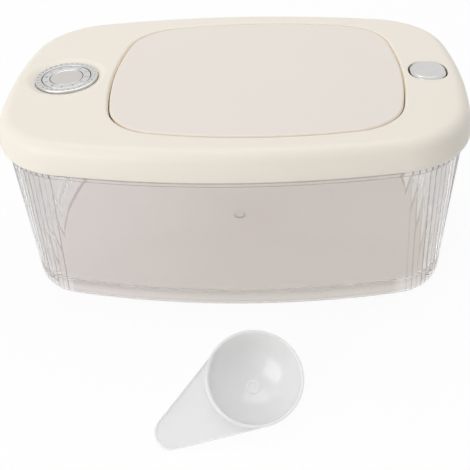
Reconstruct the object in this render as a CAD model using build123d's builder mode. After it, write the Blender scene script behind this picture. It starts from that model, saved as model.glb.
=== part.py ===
from build123d import *

import os
from dataclasses import dataclass
from math import cos, radians, sin, sqrt, tau

# A rice storage container: a clear tub with reeded ends, a cream cover that lifts off, a flush door in the
# cover that a push button unlatches and a spring raises, a date dial, and a scoop that lies in front.
# Millimetres, +Z up, +X towards the push button, +Y to the rear.
# The origin is on the floor, under the middle of the tub.

# Plan of the cover at its foot. The tub, the frame and the rim seal follow it at set insets.
cover_half_length = 165.0
cover_half_depth = 110.0
cover_side_radius = 617.0
cover_end_radius = 325.0
cover_corner_radius = 60.0

# Cover shell
cover_height = 19.0
cover_skin = 2.5
skirt_wall = 2.0
skirt_lean = 4.6
cover_edge_radius = 8.3
opening_edge_radius = 0.8

# Tub
tub_height = 121.5
tub_inset = 4.7
tub_lean = 3.1
tub_foot_corner_radius = 40.0
tub_wall = 2.3
tub_edge_radius = 6.3
tub_floor_height = 9.0
tub_floor = 3.0
tub_inner_radius = 5.0
foot_width = 3.0
reed_count = 50
reed_height = 0.7
band_height = 5.0
band_proud = 0.35
shoulder_gap = 1.0
neck_inset = 5.2
neck_wall = 2.0
gate_mark_radius = 2.5
gate_mark_depth = 0.4

# Inner frame and rim seal
rim_seal_height = 2.5
rim_seal_overhang = 0.2
frame_plate = 2.5
frame_clearance = 0.4
mechanism_space = 5.5
plug_depth = 8.5
plug_wall = 1.8
plug_clearance = 0.4
tray_depth = 14.5
tray_wall = 1.8
tray_margin = 0.5
deck = 2.0

# Screws that join the frame to the cover
screw_inset = 15.0
screw_side_shares = (-0.45, 0.12, 0.65)
screw_end_share = 0.45
screw_radius = 1.25
screw_length = 7.0
screw_head_radius = 2.6
screw_head_height = 1.6
screw_fit = 0.05
boss_radius = 3.5
pilot_spare = 0.3

# Door, placed from the cover's two ends and its sides
door_button_inset = 45.6
door_dial_inset = 78.4
door_side_inset = 24.0
door_side_radius = 366.0
door_end_radius = 260.0
door_corner_radius = 40.0
door_gap = 1.0
door_edge_radius = 1.6
door_lower_chamfer = 0.8
door_rib_inset = 1.5
door_rib_wall = 2.0
door_rib_depth = 5.0

# Pouring mouth, placed from the door's edges, its collar, the door's liner and its seal
mouth_latch_inset = 12.9
mouth_hinge_inset = 26.1
mouth_side_inset = 14.0
mouth_side_radius = 350.0
mouth_end_radius = 240.0
mouth_corner_radius = 34.0
collar_wall = 2.0
collar_height = 6.0
door_seal_width = 4.0
door_seal_height = 3.0
seal_rib_wall = 1.2
seal_rib_depth = 1.5
seal_rib_clearance = 0.1
liner_plate = 2.0
liner_wall = 1.6
liner_margin = 0.5

# Screws that join the liner to the door
liner_screw_length_share = 0.66
liner_screw_depth_share = 0.66
liner_screw_radius = 1.0
liner_screw_length = 6.0
liner_screw_head_radius = 2.2
liner_screw_head_height = 1.3
liner_boss_radius = 3.0

# Hinge: the door's two curved arms reach round the cover's edge to a pin in the hinge bay
hinge_outset = 7.0
hinge_drop = 5.2
pin_radius = 1.25
pin_fit = 0.05
pin_end = 1.6
pin_head_radius = 2.0
pin_head = 1.0
pin_chamfer = 0.3
retainer_radius = 2.2
retainer_thickness = 0.6
retainer_fit = 0.02
eye_clearance = 0.3
ear_stem = 4.0
ear_thickness = 3.0
ear_reach = 22.0
arm_inner_radius = 8.8
arm_thickness = 2.2
arm_bar = 3.0
arm_width = 8.0
arm_gap = 1.0
arm_clearance = 0.5
arm_sink = 0.5
hinge_bay_margin = 0.6
hinge_bay_bridge = 6.0
hinge_relief_margin = 3.0

# Torsion spring on the hinge pin
door_spring_wire_radius = 0.35
door_spring_clearance = 0.05
door_spring_room = 0.25
door_spring_turns = 4
door_spring_pitch = 1.2
door_spring_leg = 7.0
spring_peg_radius = 1.2
spring_peg_drop = 6.0
spring_peg_length = 3.0
spring_stop_width = 1.2
spring_stop_length = 2.4
spring_stop_height = 5.0

# Push button, its slanted leg and its springs
button_inset = 27.0
button_size = 26.0
button_corner_radius = 9.0
button_rise = 0.8
button_edge_radius = 1.4
button_gap = 0.6
button_wall = 1.8
button_top = 2.0
button_travel = 3.4
button_flange = 2.0
button_flange_width = 12.0
button_flange_thickness = 1.5
button_flange_gap = 0.3
leg_thickness = 3.0
leg_width = 4.0
leg_offset = 5.0
leg_floor_gap = 0.3
leg_fit = 0.15
button_spring_offset = 8.2
button_spring_radius = 2.2
button_spring_wire_radius = 0.3
button_spring_turns = 5
button_spring_clearance = 0.1
spring_post_radius = 1.5
spring_post_height = 4.0

# Latch bay, slider and the door's keeper
bay_margin = 2.0
bay_ledge = 0.6
slider_width = 8.0
slider_thickness = 2.7
slider_tail = 8.0
slider_clearance = 0.3
nose_reach = 0.7
nose_chamfer = 1.6
rail_height = 4.2
rail_width = 1.4
portal_post = 1.2
portal_length = 3.0
portal_setback = 4.5
portal_lintel = 1.5
keeper_width = 14.0
keeper_bar = 2.0

# Date dial
dial_inset = 42.75
dial_well_radius = 24.8
dial_well_depth = 4.5
dial_well_floor = 1.8
dial_well_wall = 1.8
dial_dish_depth = 0.6
dial_dish_width = 2.2
dial_clearance = 0.3
bezel_width = 5.8
bezel_rise = 1.0
bezel_edge_radius = 1.5
bezel_inner_chamfer = 0.5
month_ring_width = 6.2
month_ring_drop = 0.3
month_ledge_width = 3.2
month_ledge = 0.9
month_ring_round = 0.5
knob_drop = 0.3
knob_dish_radius = 10.2
knob_dish_depth = 0.5
knob_hub_clearance = 0.3
spindle_radius = 2.5
spindle_fit = 0.06
spindle_proud = 0.2
dial_screw_radius = 1.1
dial_screw_length = 4.5
dial_screw_head_radius = 3.6
dial_screw_head_height = 1.2

# Scoop, lying on the floor in front of the tub
scoop_x = 17.1
scoop_distance = 79.6
scoop_rim_radius = 30.0
scoop_depth = 24.0
scoop_wall = 1.6
scoop_lip = 0.8
scoop_lip_height = 2.0
scoop_lean = 24.56
scoop_lean_heading = -79.65
scoop_handle_turn = -65.74
handle_reach = 60.4
handle_tip_radius = 10.3
handle_droop = 7.05
handle_thickness = 1.8
handle_bead = 1.3
handle_bead_width = 1.6
nub_radius = 3.4
nub_width = 1.4
nub_height = 0.7

# How far every cutting tool runs past the face that it cuts
overrun = 1.0

# Places in plan that follow from the cover's size
button_x = cover_half_length - button_inset
dial_x = dial_inset - cover_half_length
door_half_length = cover_half_length - (door_button_inset + door_dial_inset) / 2
door_centre_x = (door_dial_inset - door_button_inset) / 2
door_half_depth = cover_half_depth - door_side_inset
mouth_half_length = door_half_length - (mouth_latch_inset + mouth_hinge_inset) / 2
mouth_centre_x = door_centre_x + (mouth_hinge_inset - mouth_latch_inset) / 2
mouth_half_depth = door_half_depth - mouth_side_inset
scoop_y = -cover_half_depth - scoop_distance

# Heights that follow from the stack of pieces
plate_z = tub_height + rim_seal_height
plate_top_z = plate_z + frame_plate
skin_z = plate_top_z + mechanism_space
cover_top_z = skin_z + cover_skin
cover_foot_z = cover_top_z - cover_height
shoulder_z = cover_foot_z - shoulder_gap
reed_top_z = shoulder_z - band_height
deck_top_z = skin_z - tray_depth
deck_z = deck_top_z - deck
collar_top_z = deck_top_z + collar_height
liner_z = collar_top_z + door_seal_height
well_z = cover_top_z - dial_well_depth
well_under_z = well_z - dial_well_floor
slider_z = deck_top_z + rail_height
slider_top_z = slider_z + slider_thickness
button_top_z = cover_top_z + button_rise
button_under_z = button_top_z - button_top
flange_top_z = skin_z - button_flange_gap
flange_z = flange_top_z - button_flange_thickness


@dataclass(frozen=True)
class Plan:
    """An outline of eight tangent arcs: two long sides, two ends and four corners."""

    half_length: float
    half_depth: float
    side_radius: float
    end_radius: float
    corner_radius: float
    centre_x: float = 0

    def inset(self, amount):
        """The same outline moved inwards all round, about the same arc centres."""
        return Plan(
            self.half_length - amount,
            self.half_depth - amount,
            self.side_radius - amount,
            self.end_radius - amount,
            self.corner_radius - amount,
            self.centre_x,
        )

    def side_centre(self):
        return Vector(0, self.half_depth - self.side_radius)

    def end_centre(self):
        return Vector(self.half_length - self.end_radius, 0)

    def corner_centre(self):
        """Centre of the right rear corner's arc, which is tangent to the side and to the end."""
        side_reach = self.side_radius - self.corner_radius
        end_reach = self.end_radius - self.corner_radius
        span = self.end_centre() - self.side_centre()
        along = (side_reach**2 - end_reach**2 + span.length**2) / (2 * span.length)
        across = sqrt(side_reach**2 - along**2)
        direction = span.normalized()
        return self.side_centre() + direction * along + direction.rotate(Axis.Z, -90) * across

    def side_tangent(self):
        direction = (self.corner_centre() - self.side_centre()).normalized()
        return self.side_centre() + direction * self.side_radius

    def end_tangent(self):
        direction = (self.corner_centre() - self.end_centre()).normalized()
        return self.end_centre() + direction * self.end_radius

    def corner_middle(self):
        centre = self.corner_centre()
        direction = (self.side_tangent() + self.end_tangent() - centre * 2).normalized()
        return centre + direction * self.corner_radius

    def place(self, point, x_sign=1, y_sign=1):
        """A point of the right rear quarter, moved to any quarter and to the plan's centre."""
        return Vector(self.centre_x + x_sign * point.X, y_sign * point.Y)

    def side_arc(self, y_sign):
        tangent = self.side_tangent()
        middle = Vector(0, self.half_depth)
        return ThreePointArc(
            self.place(tangent, -1, y_sign), self.place(middle, 1, y_sign), self.place(tangent, 1, y_sign)
        )

    def end_arc(self, x_sign):
        tangent = self.end_tangent()
        middle = Vector(self.half_length, 0)
        return ThreePointArc(
            self.place(tangent, x_sign, -1), self.place(middle, x_sign, 1), self.place(tangent, x_sign, 1)
        )

    def corner_arc(self, x_sign, y_sign):
        ends = (self.side_tangent(), self.corner_middle(), self.end_tangent())
        return ThreePointArc(*(self.place(point, x_sign, y_sign) for point in ends))

    def point_on_side(self, x, y_sign):
        y = self.side_centre().Y + sqrt(self.side_radius**2 - x**2)
        return self.place(Vector(x, y), 1, y_sign)

    def point_on_end(self, y, x_sign):
        x = self.end_centre().X + sqrt(self.end_radius**2 - y**2)
        return self.place(Vector(x, y), x_sign, 1)


class Oval(BaseSketchObject):
    """The face inside a plan's outline."""

    def __init__(self, plan, mode=Mode.ADD):
        with BuildSketch() as face:
            with BuildLine():
                for sign in (1, -1):
                    plan.side_arc(sign)
                    plan.end_arc(sign)
                    plan.corner_arc(1, sign)
                    plan.corner_arc(-1, sign)
            make_face()
        super().__init__(face.sketch, mode=mode)


class ReededOval(BaseSketchObject):
    """The face inside a plan's outline whose ends and corners are rows of convex reeds."""

    def __init__(self, plan, mode=Mode.ADD):
        with BuildLine(mode=Mode.PRIVATE) as end:
            plan.corner_arc(1, -1)
            plan.end_arc(1)
            plan.corner_arc(1, 1)
        path = end.wire()
        points = [path @ (number / reed_count) for number in range(reed_count + 1)]
        turn = -90 if points[0].Y < points[-1].Y else 90
        with BuildSketch() as face:
            with BuildLine():
                for start, stop in zip(points, points[1:]):
                    outward = (stop - start).rotate(Axis.Z, turn).normalized()
                    ThreePointArc(start, (start + stop) / 2 + outward * reed_height, stop)
                mirror(about=Plane.YZ)
                plan.side_arc(1)
                plan.side_arc(-1)
            make_face()
        super().__init__(face.sketch, mode=mode)


def coil(plane, radius, rise, turns, start_angle, hand):
    """Draws a helix about a plane's Z axis as pairs of tangent arcs, a pair to each quarter turn."""

    def point(step):
        angle = start_angle + hand * tau * step / 4
        return plane.from_local_coords(Vector(radius * cos(angle), radius * sin(angle), rise * step / quarters))

    def tangent(step):
        angle = start_angle + hand * tau * step / 4
        run = hand * tau / 4 * radius
        local = Vector(-run * sin(angle), run * cos(angle), rise / quarters)
        return (plane.from_local_coords(local) - plane.origin).normalized()

    quarters = round(turns * 4)
    for step in range(quarters):
        start, stop = point(step), point(step + 1)
        leaving, arriving = tangent(step), tangent(step + 1)
        chord = stop - start
        forward = chord.dot(leaving + arriving)
        bend = 2 * (1 - leaving.dot(arriving))
        reach = (sqrt(forward**2 + bend * chord.dot(chord)) - forward) / bend
        middle = (start + leaving * reach + stop - arriving * reach) / 2
        first = TangentArc(start, middle, tangent=leaving)
        TangentArc(middle, stop, tangent=first % 1)


def least_gap(path, wire_radius, turn_length):
    """Least clear distance between turns of a wound wire, measured on points along its middle."""
    samples = round(path.length / wire_radius)
    points = [path @ (number / samples) for number in range(samples + 1)]
    apart = round(samples * turn_length / path.length / 2)
    spans = [
        (points[late] - points[early]).length
        for early in range(len(points))
        for late in range(early + apart, len(points))
    ]
    return min(spans) - 2 * wire_radius


cover_plan = Plan(cover_half_length, cover_half_depth, cover_side_radius, cover_end_radius, cover_corner_radius)
door_plan = Plan(
    door_half_length, door_half_depth, door_side_radius, door_end_radius, door_corner_radius, door_centre_x
)
mouth_plan = Plan(
    mouth_half_length, mouth_half_depth, mouth_side_radius, mouth_end_radius, mouth_corner_radius, mouth_centre_x
)

# Tub: a reeded wall that narrows to a rounded foot, a smooth band, and a neck that the cover hides
tub_top_plan = cover_plan.inset(tub_inset)
leaned_plan = tub_top_plan.inset(tub_lean)
tub_foot_plan = Plan(
    leaned_plan.half_length,
    leaned_plan.half_depth,
    leaned_plan.side_radius,
    leaned_plan.end_radius,
    tub_foot_corner_radius,
)
band_plan = tub_top_plan.inset(-reed_height - band_proud)
neck_plan = cover_plan.inset(neck_inset)
neck_inner_plan = neck_plan.inset(neck_wall)

with BuildPart() as tub_envelope:
    with BuildSketch():
        Oval(tub_foot_plan.inset(-reed_height - band_proud))
    with BuildSketch(Plane.XY.offset(reed_top_z)):
        Oval(band_plan)
    loft(ruled=True)
    fillet(tub_envelope.edges().group_by(Axis.Z)[0], tub_edge_radius)

with BuildPart() as tub_hollow:
    with BuildSketch(Plane.XY.offset(tub_floor_height)):
        Oval(tub_foot_plan.inset(tub_wall))
    with BuildSketch(Plane.XY.offset(tub_height)):
        Oval(neck_inner_plan)
    loft(ruled=True)
    fillet(tub_hollow.edges().group_by(Axis.Z)[0], tub_inner_radius)

with BuildPart() as tub:
    with BuildSketch():
        ReededOval(tub_foot_plan)
    with BuildSketch(Plane.XY.offset(reed_top_z)):
        ReededOval(tub_top_plan)
    loft(ruled=True)
    add(tub_envelope.part, mode=Mode.INTERSECT)
    with BuildSketch(Plane.XY.offset(reed_top_z)):
        Oval(band_plan)
    extrude(amount=band_height)
    with BuildSketch(Plane.XY.offset(shoulder_z)):
        Oval(neck_plan)
    extrude(amount=tub_height - shoulder_z)
    add(tub_hollow.part, mode=Mode.SUBTRACT)
    # The floor stands on a foot ring
    with BuildSketch():
        Oval(tub_foot_plan.inset(tub_edge_radius + foot_width))
    extrude(amount=tub_floor_height - tub_floor, mode=Mode.SUBTRACT)
    # Mark that the moulding gate leaves in the middle of the floor
    with BuildSketch(Plane.XY.offset(tub_floor_height)):
        Circle(gate_mark_radius)
    extrude(amount=-gate_mark_depth, mode=Mode.SUBTRACT)

# Rim seal, on the tub's rim
with BuildPart() as rim_seal:
    with BuildSketch(Plane.XY.offset(tub_height)):
        Oval(neck_plan)
        Oval(neck_inner_plan.inset(rim_seal_overhang), mode=Mode.SUBTRACT)
    extrude(amount=rim_seal_height)

# Places of the screws that join the frame to the cover
screw_plan = cover_plan.inset(screw_inset)
screw_points = []
for sign in (1, -1):
    for share in screw_side_shares:
        screw_points.append(screw_plan.point_on_side(share * screw_plan.half_length, sign))
    for share in (screw_end_share, -screw_end_share):
        screw_points.append(screw_plan.point_on_end(share * screw_plan.half_depth, sign))
pilot_length = screw_length - frame_plate + pilot_spare

# Cover shell: a leaning skirt under a flat top with a soft edge
with BuildPart() as cover_core:
    with BuildSketch(Plane.XY.offset(cover_foot_z)):
        Oval(cover_plan.inset(skirt_wall))
    with BuildSketch(Plane.XY.offset(skin_z)):
        Oval(cover_plan.inset(skirt_wall + skirt_lean * (skin_z - cover_foot_z) / cover_height))
    loft(ruled=True)
    fillet(cover_core.edges().group_by(Axis.Z)[-1], cover_edge_radius - skirt_wall)

with BuildPart() as cover_shell:
    with BuildSketch(Plane.XY.offset(cover_foot_z)):
        Oval(cover_plan)
    with BuildSketch(Plane.XY.offset(cover_top_z)):
        Oval(cover_plan.inset(skirt_lean))
    loft(ruled=True)
    fillet(cover_shell.edges().group_by(Axis.Z)[-1], cover_edge_radius)
    add(cover_core.part, mode=Mode.SUBTRACT)
    # Well of the dial, screw bosses
    with BuildSketch(Plane((dial_x, 0, well_under_z))):
        Circle(dial_well_radius + dial_well_wall)
    extrude(amount=skin_z - well_under_z)
    with BuildSketch(Plane.XY.offset(plate_top_z)):
        with Locations(*screw_points):
            Circle(boss_radius)
            Circle(screw_radius + screw_fit, mode=Mode.SUBTRACT)
    extrude(amount=pilot_length)
    with BuildSketch(Plane.XY.offset(plate_top_z + pilot_length)):
        with Locations(*screw_points):
            Circle(boss_radius)
    extrude(amount=mechanism_space - pilot_length)
    # Door opening
    with BuildSketch(Plane.XY.offset(skin_z)):
        Oval(door_plan.inset(-door_gap))
    extrude(amount=cover_skin, mode=Mode.SUBTRACT)
    fillet(cover_shell.edges(Select.LAST).group_by(Axis.Z)[-1], opening_edge_radius)
    # Button hole
    with BuildSketch(Plane((button_x, 0, skin_z))):
        button_hole = button_size + 2 * button_gap
        RectangleRounded(button_hole, button_hole, button_corner_radius + button_gap)
    extrude(amount=cover_skin, mode=Mode.SUBTRACT)
    fillet(cover_shell.edges(Select.LAST).group_by(Axis.Z)[-1], opening_edge_radius)
    # Well, its shallow dish and the spindle's hole
    with BuildSketch(Plane((dial_x, 0, well_z))):
        Circle(dial_well_radius)
    extrude(amount=dial_well_depth, mode=Mode.SUBTRACT)
    chamfer(cover_shell.edges(Select.LAST).group_by(Axis.Z)[-1], dial_dish_depth, dial_dish_width)
    with BuildSketch(Plane((dial_x, 0, well_under_z))):
        Circle(spindle_radius + spindle_fit)
    extrude(amount=dial_well_floor, mode=Mode.SUBTRACT)

# Hinge line of the door, and a plane across it whose X is +X and whose Y is +Z
door_left = door_centre_x - door_half_length
hinge_x = door_left - hinge_outset
hinge_z = cover_top_z - hinge_drop
hinge_room = hinge_drop - cover_skin
eye_radius = hinge_room - eye_clearance
ear_outer = ear_reach + ear_thickness
ear_height = hinge_z - deck_top_z
arm_outer_radius = arm_inner_radius + arm_thickness
arm_outer = ear_reach - arm_gap
arm_inner = arm_outer - arm_width


def across_hinge(y):
    return Plane((hinge_x, y, hinge_z), x_dir=(1, 0, 0), z_dir=(0, -1, 0))


# Torsion spring on the pin: its loose leg pushes a peg on the front arm
door_spring_radius = pin_radius + door_spring_room + door_spring_wire_radius
door_spring_turn = door_spring_turns + 1 / 2
door_spring_length = door_spring_turn * door_spring_pitch
door_spring_start = door_spring_length + spring_peg_length / 2 - arm_inner
spring_peg_x = spring_peg_radius + door_spring_wire_radius + door_spring_clearance - door_spring_radius

# Hinge bay, seen from above
tray_plan = door_plan.inset(-door_gap - tray_margin)
tray_left = door_left - door_gap - tray_margin - tray_wall
hinge_bay_left = hinge_x - eye_radius - hinge_bay_margin
hinge_bay_right = tray_left - bay_ledge
hinge_bay_length = hinge_bay_right - hinge_bay_left
hinge_bay_width = 2 * (ear_outer + bay_margin)
hinge_box_left = hinge_bay_left - tray_wall
hinge_box_right = tray_left + hinge_bay_bridge
slot_left = hinge_bay_right - overrun
slot_right = hinge_x + arm_outer_radius + arm_clearance
slot_inner = arm_inner - spring_peg_length - arm_clearance
slot_outer = arm_outer + arm_clearance

# Latch bay, seen from above
door_right = door_centre_x + door_half_length
tray_right = door_right + door_gap + tray_margin + tray_wall
bay_right = button_x + button_size / 2 + bay_margin
bay_left = tray_right + bay_ledge
bay_length = bay_right - bay_left
bay_width = button_size + 2 * (button_flange + button_flange_gap)
bay_plane = Plane(((bay_left + bay_right) / 2, 0, deck_z))
keeper_inner = door_right - door_rib_inset - door_rib_wall
nose_x = keeper_inner - nose_reach
leg_x = button_x - leg_offset
slider_end = button_x + slider_tail
slider_middle_z = slider_z + slider_thickness / 2
window_height = slider_thickness + 2 * slider_clearance
window_width = slider_width + 2 * slider_clearance
frame_inset = skirt_wall + frame_clearance + skirt_lean * (plate_top_z - cover_foot_z) / cover_height
plug_plan = neck_inner_plan.inset(plug_clearance)

# Inner frame: plugs the tub and holds the mouth, the door's tray, the hinge ears and the latch bay
with BuildPart() as inner_frame:
    with BuildSketch(Plane.XY.offset(plate_z)):
        Oval(cover_plan.inset(frame_inset))
    extrude(amount=frame_plate)
    with BuildSketch(Plane.XY.offset(plate_z - plug_depth)):
        Oval(plug_plan)
        Oval(plug_plan.inset(plug_wall), mode=Mode.SUBTRACT)
    extrude(amount=plug_depth)
    with BuildSketch(Plane.XY.offset(deck_z)):
        Oval(tray_plan.inset(-tray_wall))
    extrude(amount=skin_z - deck_z)
    with BuildSketch(bay_plane):
        Rectangle(bay_length + 2 * tray_wall, bay_width + 2 * tray_wall)
    extrude(amount=plate_top_z - deck_z)
    with BuildSketch(Plane(((hinge_box_left + hinge_box_right) / 2, 0, deck_z))):
        Rectangle(hinge_box_right - hinge_box_left, hinge_bay_width + 2 * tray_wall)
    extrude(amount=plate_top_z - deck_z)
    # Hollows of the tray and of the two bays, and slots that the door's arms swing in
    with BuildSketch(Plane.XY.offset(deck_top_z)):
        Oval(tray_plan)
    extrude(amount=tray_depth, mode=Mode.SUBTRACT)
    with BuildSketch(bay_plane.offset(deck)):
        Rectangle(bay_length, bay_width)
    extrude(amount=plate_top_z - deck_top_z, mode=Mode.SUBTRACT)
    with BuildSketch(Plane(((hinge_bay_left + hinge_bay_right) / 2, 0, deck_top_z))):
        Rectangle(hinge_bay_length, hinge_bay_width)
    extrude(amount=plate_top_z - deck_top_z, mode=Mode.SUBTRACT)
    with BuildSketch(Plane(((slot_left + slot_right) / 2, 0, deck_top_z))):
        with GridLocations(0, slot_inner + slot_outer, 1, 2):
            Rectangle(slot_right - slot_left, slot_outer - slot_inner)
    extrude(amount=tray_depth, mode=Mode.SUBTRACT)
    # Mouth and its collar
    with BuildSketch(Plane.XY.offset(deck_top_z)):
        Oval(mouth_plan.inset(-collar_wall))
    extrude(amount=collar_height)
    with BuildSketch(Plane.XY.offset(deck_z)):
        Oval(mouth_plan)
    extrude(amount=deck + collar_height, mode=Mode.SUBTRACT)
    # Ears of the hinge on the bay's floor, and a stop for the spring's fixed leg
    for start in (-ear_reach, ear_outer):
        with BuildSketch(across_hinge(start)):
            Circle(eye_radius)
            with Locations((0, -ear_height / 2)):
                Rectangle(ear_stem, ear_height)
            Circle(pin_radius + pin_fit, mode=Mode.SUBTRACT)
        extrude(amount=ear_thickness)
    stop_reach = door_spring_radius - door_spring_wire_radius - door_spring_clearance - spring_stop_width / 2
    with BuildSketch(Plane((hinge_x + stop_reach, door_spring_start, deck_top_z))):
        Rectangle(spring_stop_width, spring_stop_length)
    extrude(amount=spring_stop_height)
    # Rails under the slider, its window in the tray's wall and a portal over its tail
    with BuildSketch(Plane(((bay_left + slider_end) / 2, 0, deck_top_z))):
        with GridLocations(0, slider_width - rail_width, 1, 2):
            Rectangle(slider_end - bay_left, rail_width)
    extrude(amount=rail_height)
    with BuildSketch(Plane((bay_left, 0, slider_middle_z), x_dir=(0, 1, 0), z_dir=(-1, 0, 0))):
        Rectangle(window_width, window_height)
    extrude(amount=bay_ledge + tray_wall + overrun, mode=Mode.SUBTRACT)
    portal_x = button_x + portal_setback + portal_length / 2
    with BuildSketch(Plane((portal_x, 0, deck_top_z))):
        with GridLocations(0, window_width + portal_post, 1, 2):
            Rectangle(portal_length, portal_post)
    extrude(amount=slider_top_z + slider_clearance - deck_top_z)
    with BuildSketch(Plane((portal_x, 0, slider_top_z + slider_clearance))):
        Rectangle(portal_length, window_width + 2 * portal_post)
    extrude(amount=portal_lintel)
    # Posts of the button's springs
    with BuildSketch(Plane((button_x, 0, deck_top_z))):
        with GridLocations(0, 2 * button_spring_offset, 1, 2):
            Circle(spring_post_radius)
    extrude(amount=spring_post_height)
    # Holes of the cover's screws
    with BuildSketch(Plane.XY.offset(plate_z)):
        with Locations(*screw_points):
            Circle(screw_radius + screw_fit)
    extrude(amount=frame_plate, mode=Mode.SUBTRACT)

# Screws from below, through the frame into the cover's bosses
with BuildPart() as cover_screws:
    with BuildSketch(Plane.XY.offset(plate_z)):
        with Locations(*screw_points):
            Circle(screw_radius)
    extrude(amount=screw_length)
    with BuildSketch(Plane.XY.offset(plate_z)):
        with Locations(*screw_points):
            Circle(screw_head_radius)
    extrude(amount=-screw_head_height)

# Places of the screws that join the liner to the door
liner_screw_points = [
    Vector(mouth_centre_x + x_sign * liner_screw_length_share * mouth_half_length,
           y_sign * liner_screw_depth_share * mouth_half_depth)
    for x_sign in (1, -1)
    for y_sign in (1, -1)
]
liner_top_z = liner_z + liner_plate
liner_screw_tip_z = liner_z + liner_screw_length

# Door panel: a skin with a stiffening rib, hinge arms, screw bosses and the keeper of the latch
with BuildPart() as door_panel:
    with BuildSketch(Plane.XY.offset(skin_z)):
        Oval(door_plan)
    extrude(amount=cover_skin)
    fillet(door_panel.edges().group_by(Axis.Z)[-1], door_edge_radius)
    chamfer(door_panel.edges().group_by(Axis.Z)[0], door_lower_chamfer)
    with BuildSketch(Plane.XY.offset(skin_z)):
        Oval(door_plan.inset(door_rib_inset))
        Oval(door_plan.inset(door_rib_inset + door_rib_wall), mode=Mode.SUBTRACT)
        # The rib stops short of the hinge
        relief_length = arm_outer_radius + hinge_relief_margin
        with Locations((hinge_x + relief_length / 2, 0)):
            Rectangle(relief_length, 2 * (ear_outer + hinge_relief_margin), mode=Mode.SUBTRACT)
    extrude(amount=-door_rib_depth)
    # Arms that hang from the pin, beside the ears, and curve up to the door's edge
    for start in (arm_outer, -arm_inner):
        with BuildSketch(across_hinge(start)):
            Circle(arm_outer_radius)
            Circle(arm_inner_radius, mode=Mode.SUBTRACT)
            with Locations((-(arm_outer_radius + arm_bar) / 2, 0)):
                Rectangle(arm_outer_radius, 2 * arm_outer_radius, mode=Mode.SUBTRACT)
            with Locations((0, hinge_room + arm_sink + arm_outer_radius / 2)):
                Rectangle(2 * arm_outer_radius, arm_outer_radius, mode=Mode.SUBTRACT)
            with Locations((0, -arm_inner_radius / 2 - arm_thickness / 4)):
                Rectangle(arm_bar, arm_inner_radius + arm_thickness / 2)
            Circle(eye_radius)
            Circle(pin_radius + pin_fit, mode=Mode.SUBTRACT)
        extrude(amount=arm_width)
    # Peg on the front arm, which the spring's loose leg pushes
    with BuildSketch(across_hinge(spring_peg_length - arm_inner)):
        with Locations((spring_peg_x, -spring_peg_drop)):
            Circle(spring_peg_radius)
    extrude(amount=spring_peg_length)
    # Keeper: a tab with a window for the slider's nose
    keeper_z = slider_z - slider_clearance - keeper_bar
    with BuildSketch(Plane((keeper_inner, 0, skin_z), x_dir=(0, 1, 0), z_dir=(1, 0, 0))):
        with Locations((0, (keeper_z - skin_z) / 2)):
            Rectangle(keeper_width, skin_z - keeper_z)
        with Locations((0, slider_middle_z - skin_z)):
            Rectangle(window_width, window_height, mode=Mode.SUBTRACT)
    extrude(amount=door_rib_wall)
    # Bosses of the liner's screws
    with BuildSketch(Plane.XY.offset(liner_top_z)):
        with Locations(*liner_screw_points):
            Circle(liner_boss_radius)
            Circle(liner_screw_radius + screw_fit, mode=Mode.SUBTRACT)
    extrude(amount=skin_z - liner_top_z)
    with BuildSketch(Plane.XY.offset(skin_z)):
        with Locations(*liner_screw_points):
            Circle(liner_screw_radius + screw_fit)
    extrude(amount=liner_screw_tip_z + pilot_spare - skin_z, mode=Mode.SUBTRACT)

# Ring of the seal follows the middle of the mouth's collar
seal_path_plan = mouth_plan.inset(-collar_wall / 2)
seal_outer_plan = seal_path_plan.inset(-door_seal_width / 2)
seal_inner_plan = seal_path_plan.inset(door_seal_width / 2)
rib_outer_plan = seal_outer_plan.inset(-seal_rib_clearance)
rib_inner_plan = seal_inner_plan.inset(seal_rib_clearance)
liner_plan = rib_outer_plan.inset(-seal_rib_wall - liner_margin)

# Door liner: a shallow tray under the door, with two ribs that hold the seal
with BuildPart() as door_liner:
    with BuildSketch(Plane.XY.offset(liner_z)):
        Oval(liner_plan)
    extrude(amount=liner_plate)
    with BuildSketch(Plane.XY.offset(liner_top_z)):
        Oval(liner_plan)
        Oval(liner_plan.inset(liner_wall), mode=Mode.SUBTRACT)
    extrude(amount=skin_z - liner_top_z)
    with BuildSketch(Plane.XY.offset(liner_z)):
        Oval(rib_outer_plan.inset(-seal_rib_wall))
        Oval(rib_outer_plan, mode=Mode.SUBTRACT)
        Oval(rib_inner_plan)
        Oval(rib_inner_plan.inset(seal_rib_wall), mode=Mode.SUBTRACT)
    extrude(amount=-seal_rib_depth)
    with BuildSketch(Plane.XY.offset(liner_z)):
        with Locations(*liner_screw_points):
            Circle(liner_screw_radius + screw_fit)
    extrude(amount=liner_plate, mode=Mode.SUBTRACT)

with BuildPart() as door_screws:
    with BuildSketch(Plane.XY.offset(liner_z)):
        with Locations(*liner_screw_points):
            Circle(liner_screw_radius)
    extrude(amount=liner_screw_length)
    with BuildSketch(Plane.XY.offset(liner_z)):
        with Locations(*liner_screw_points):
            Circle(liner_screw_head_radius)
    extrude(amount=-liner_screw_head_height)

# Door seal, between the liner and the collar
with BuildPart() as door_seal:
    with BuildSketch(Plane.XY.offset(collar_top_z)):
        Oval(seal_outer_plan)
        Oval(seal_inner_plan, mode=Mode.SUBTRACT)
    extrude(amount=door_seal_height)

# Hinge pin, headed at the front and held by a push-on ring at the rear
with BuildPart() as hinge_pin:
    with BuildSketch(across_hinge(ear_outer + pin_end)):
        Circle(pin_radius)
    extrude(amount=2 * ear_outer + pin_end)
    chamfer(hinge_pin.edges().group_by(Axis.Y)[-1], pin_chamfer)
    with BuildSketch(across_hinge(-ear_outer)):
        Circle(pin_head_radius)
    extrude(amount=pin_head)

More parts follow.
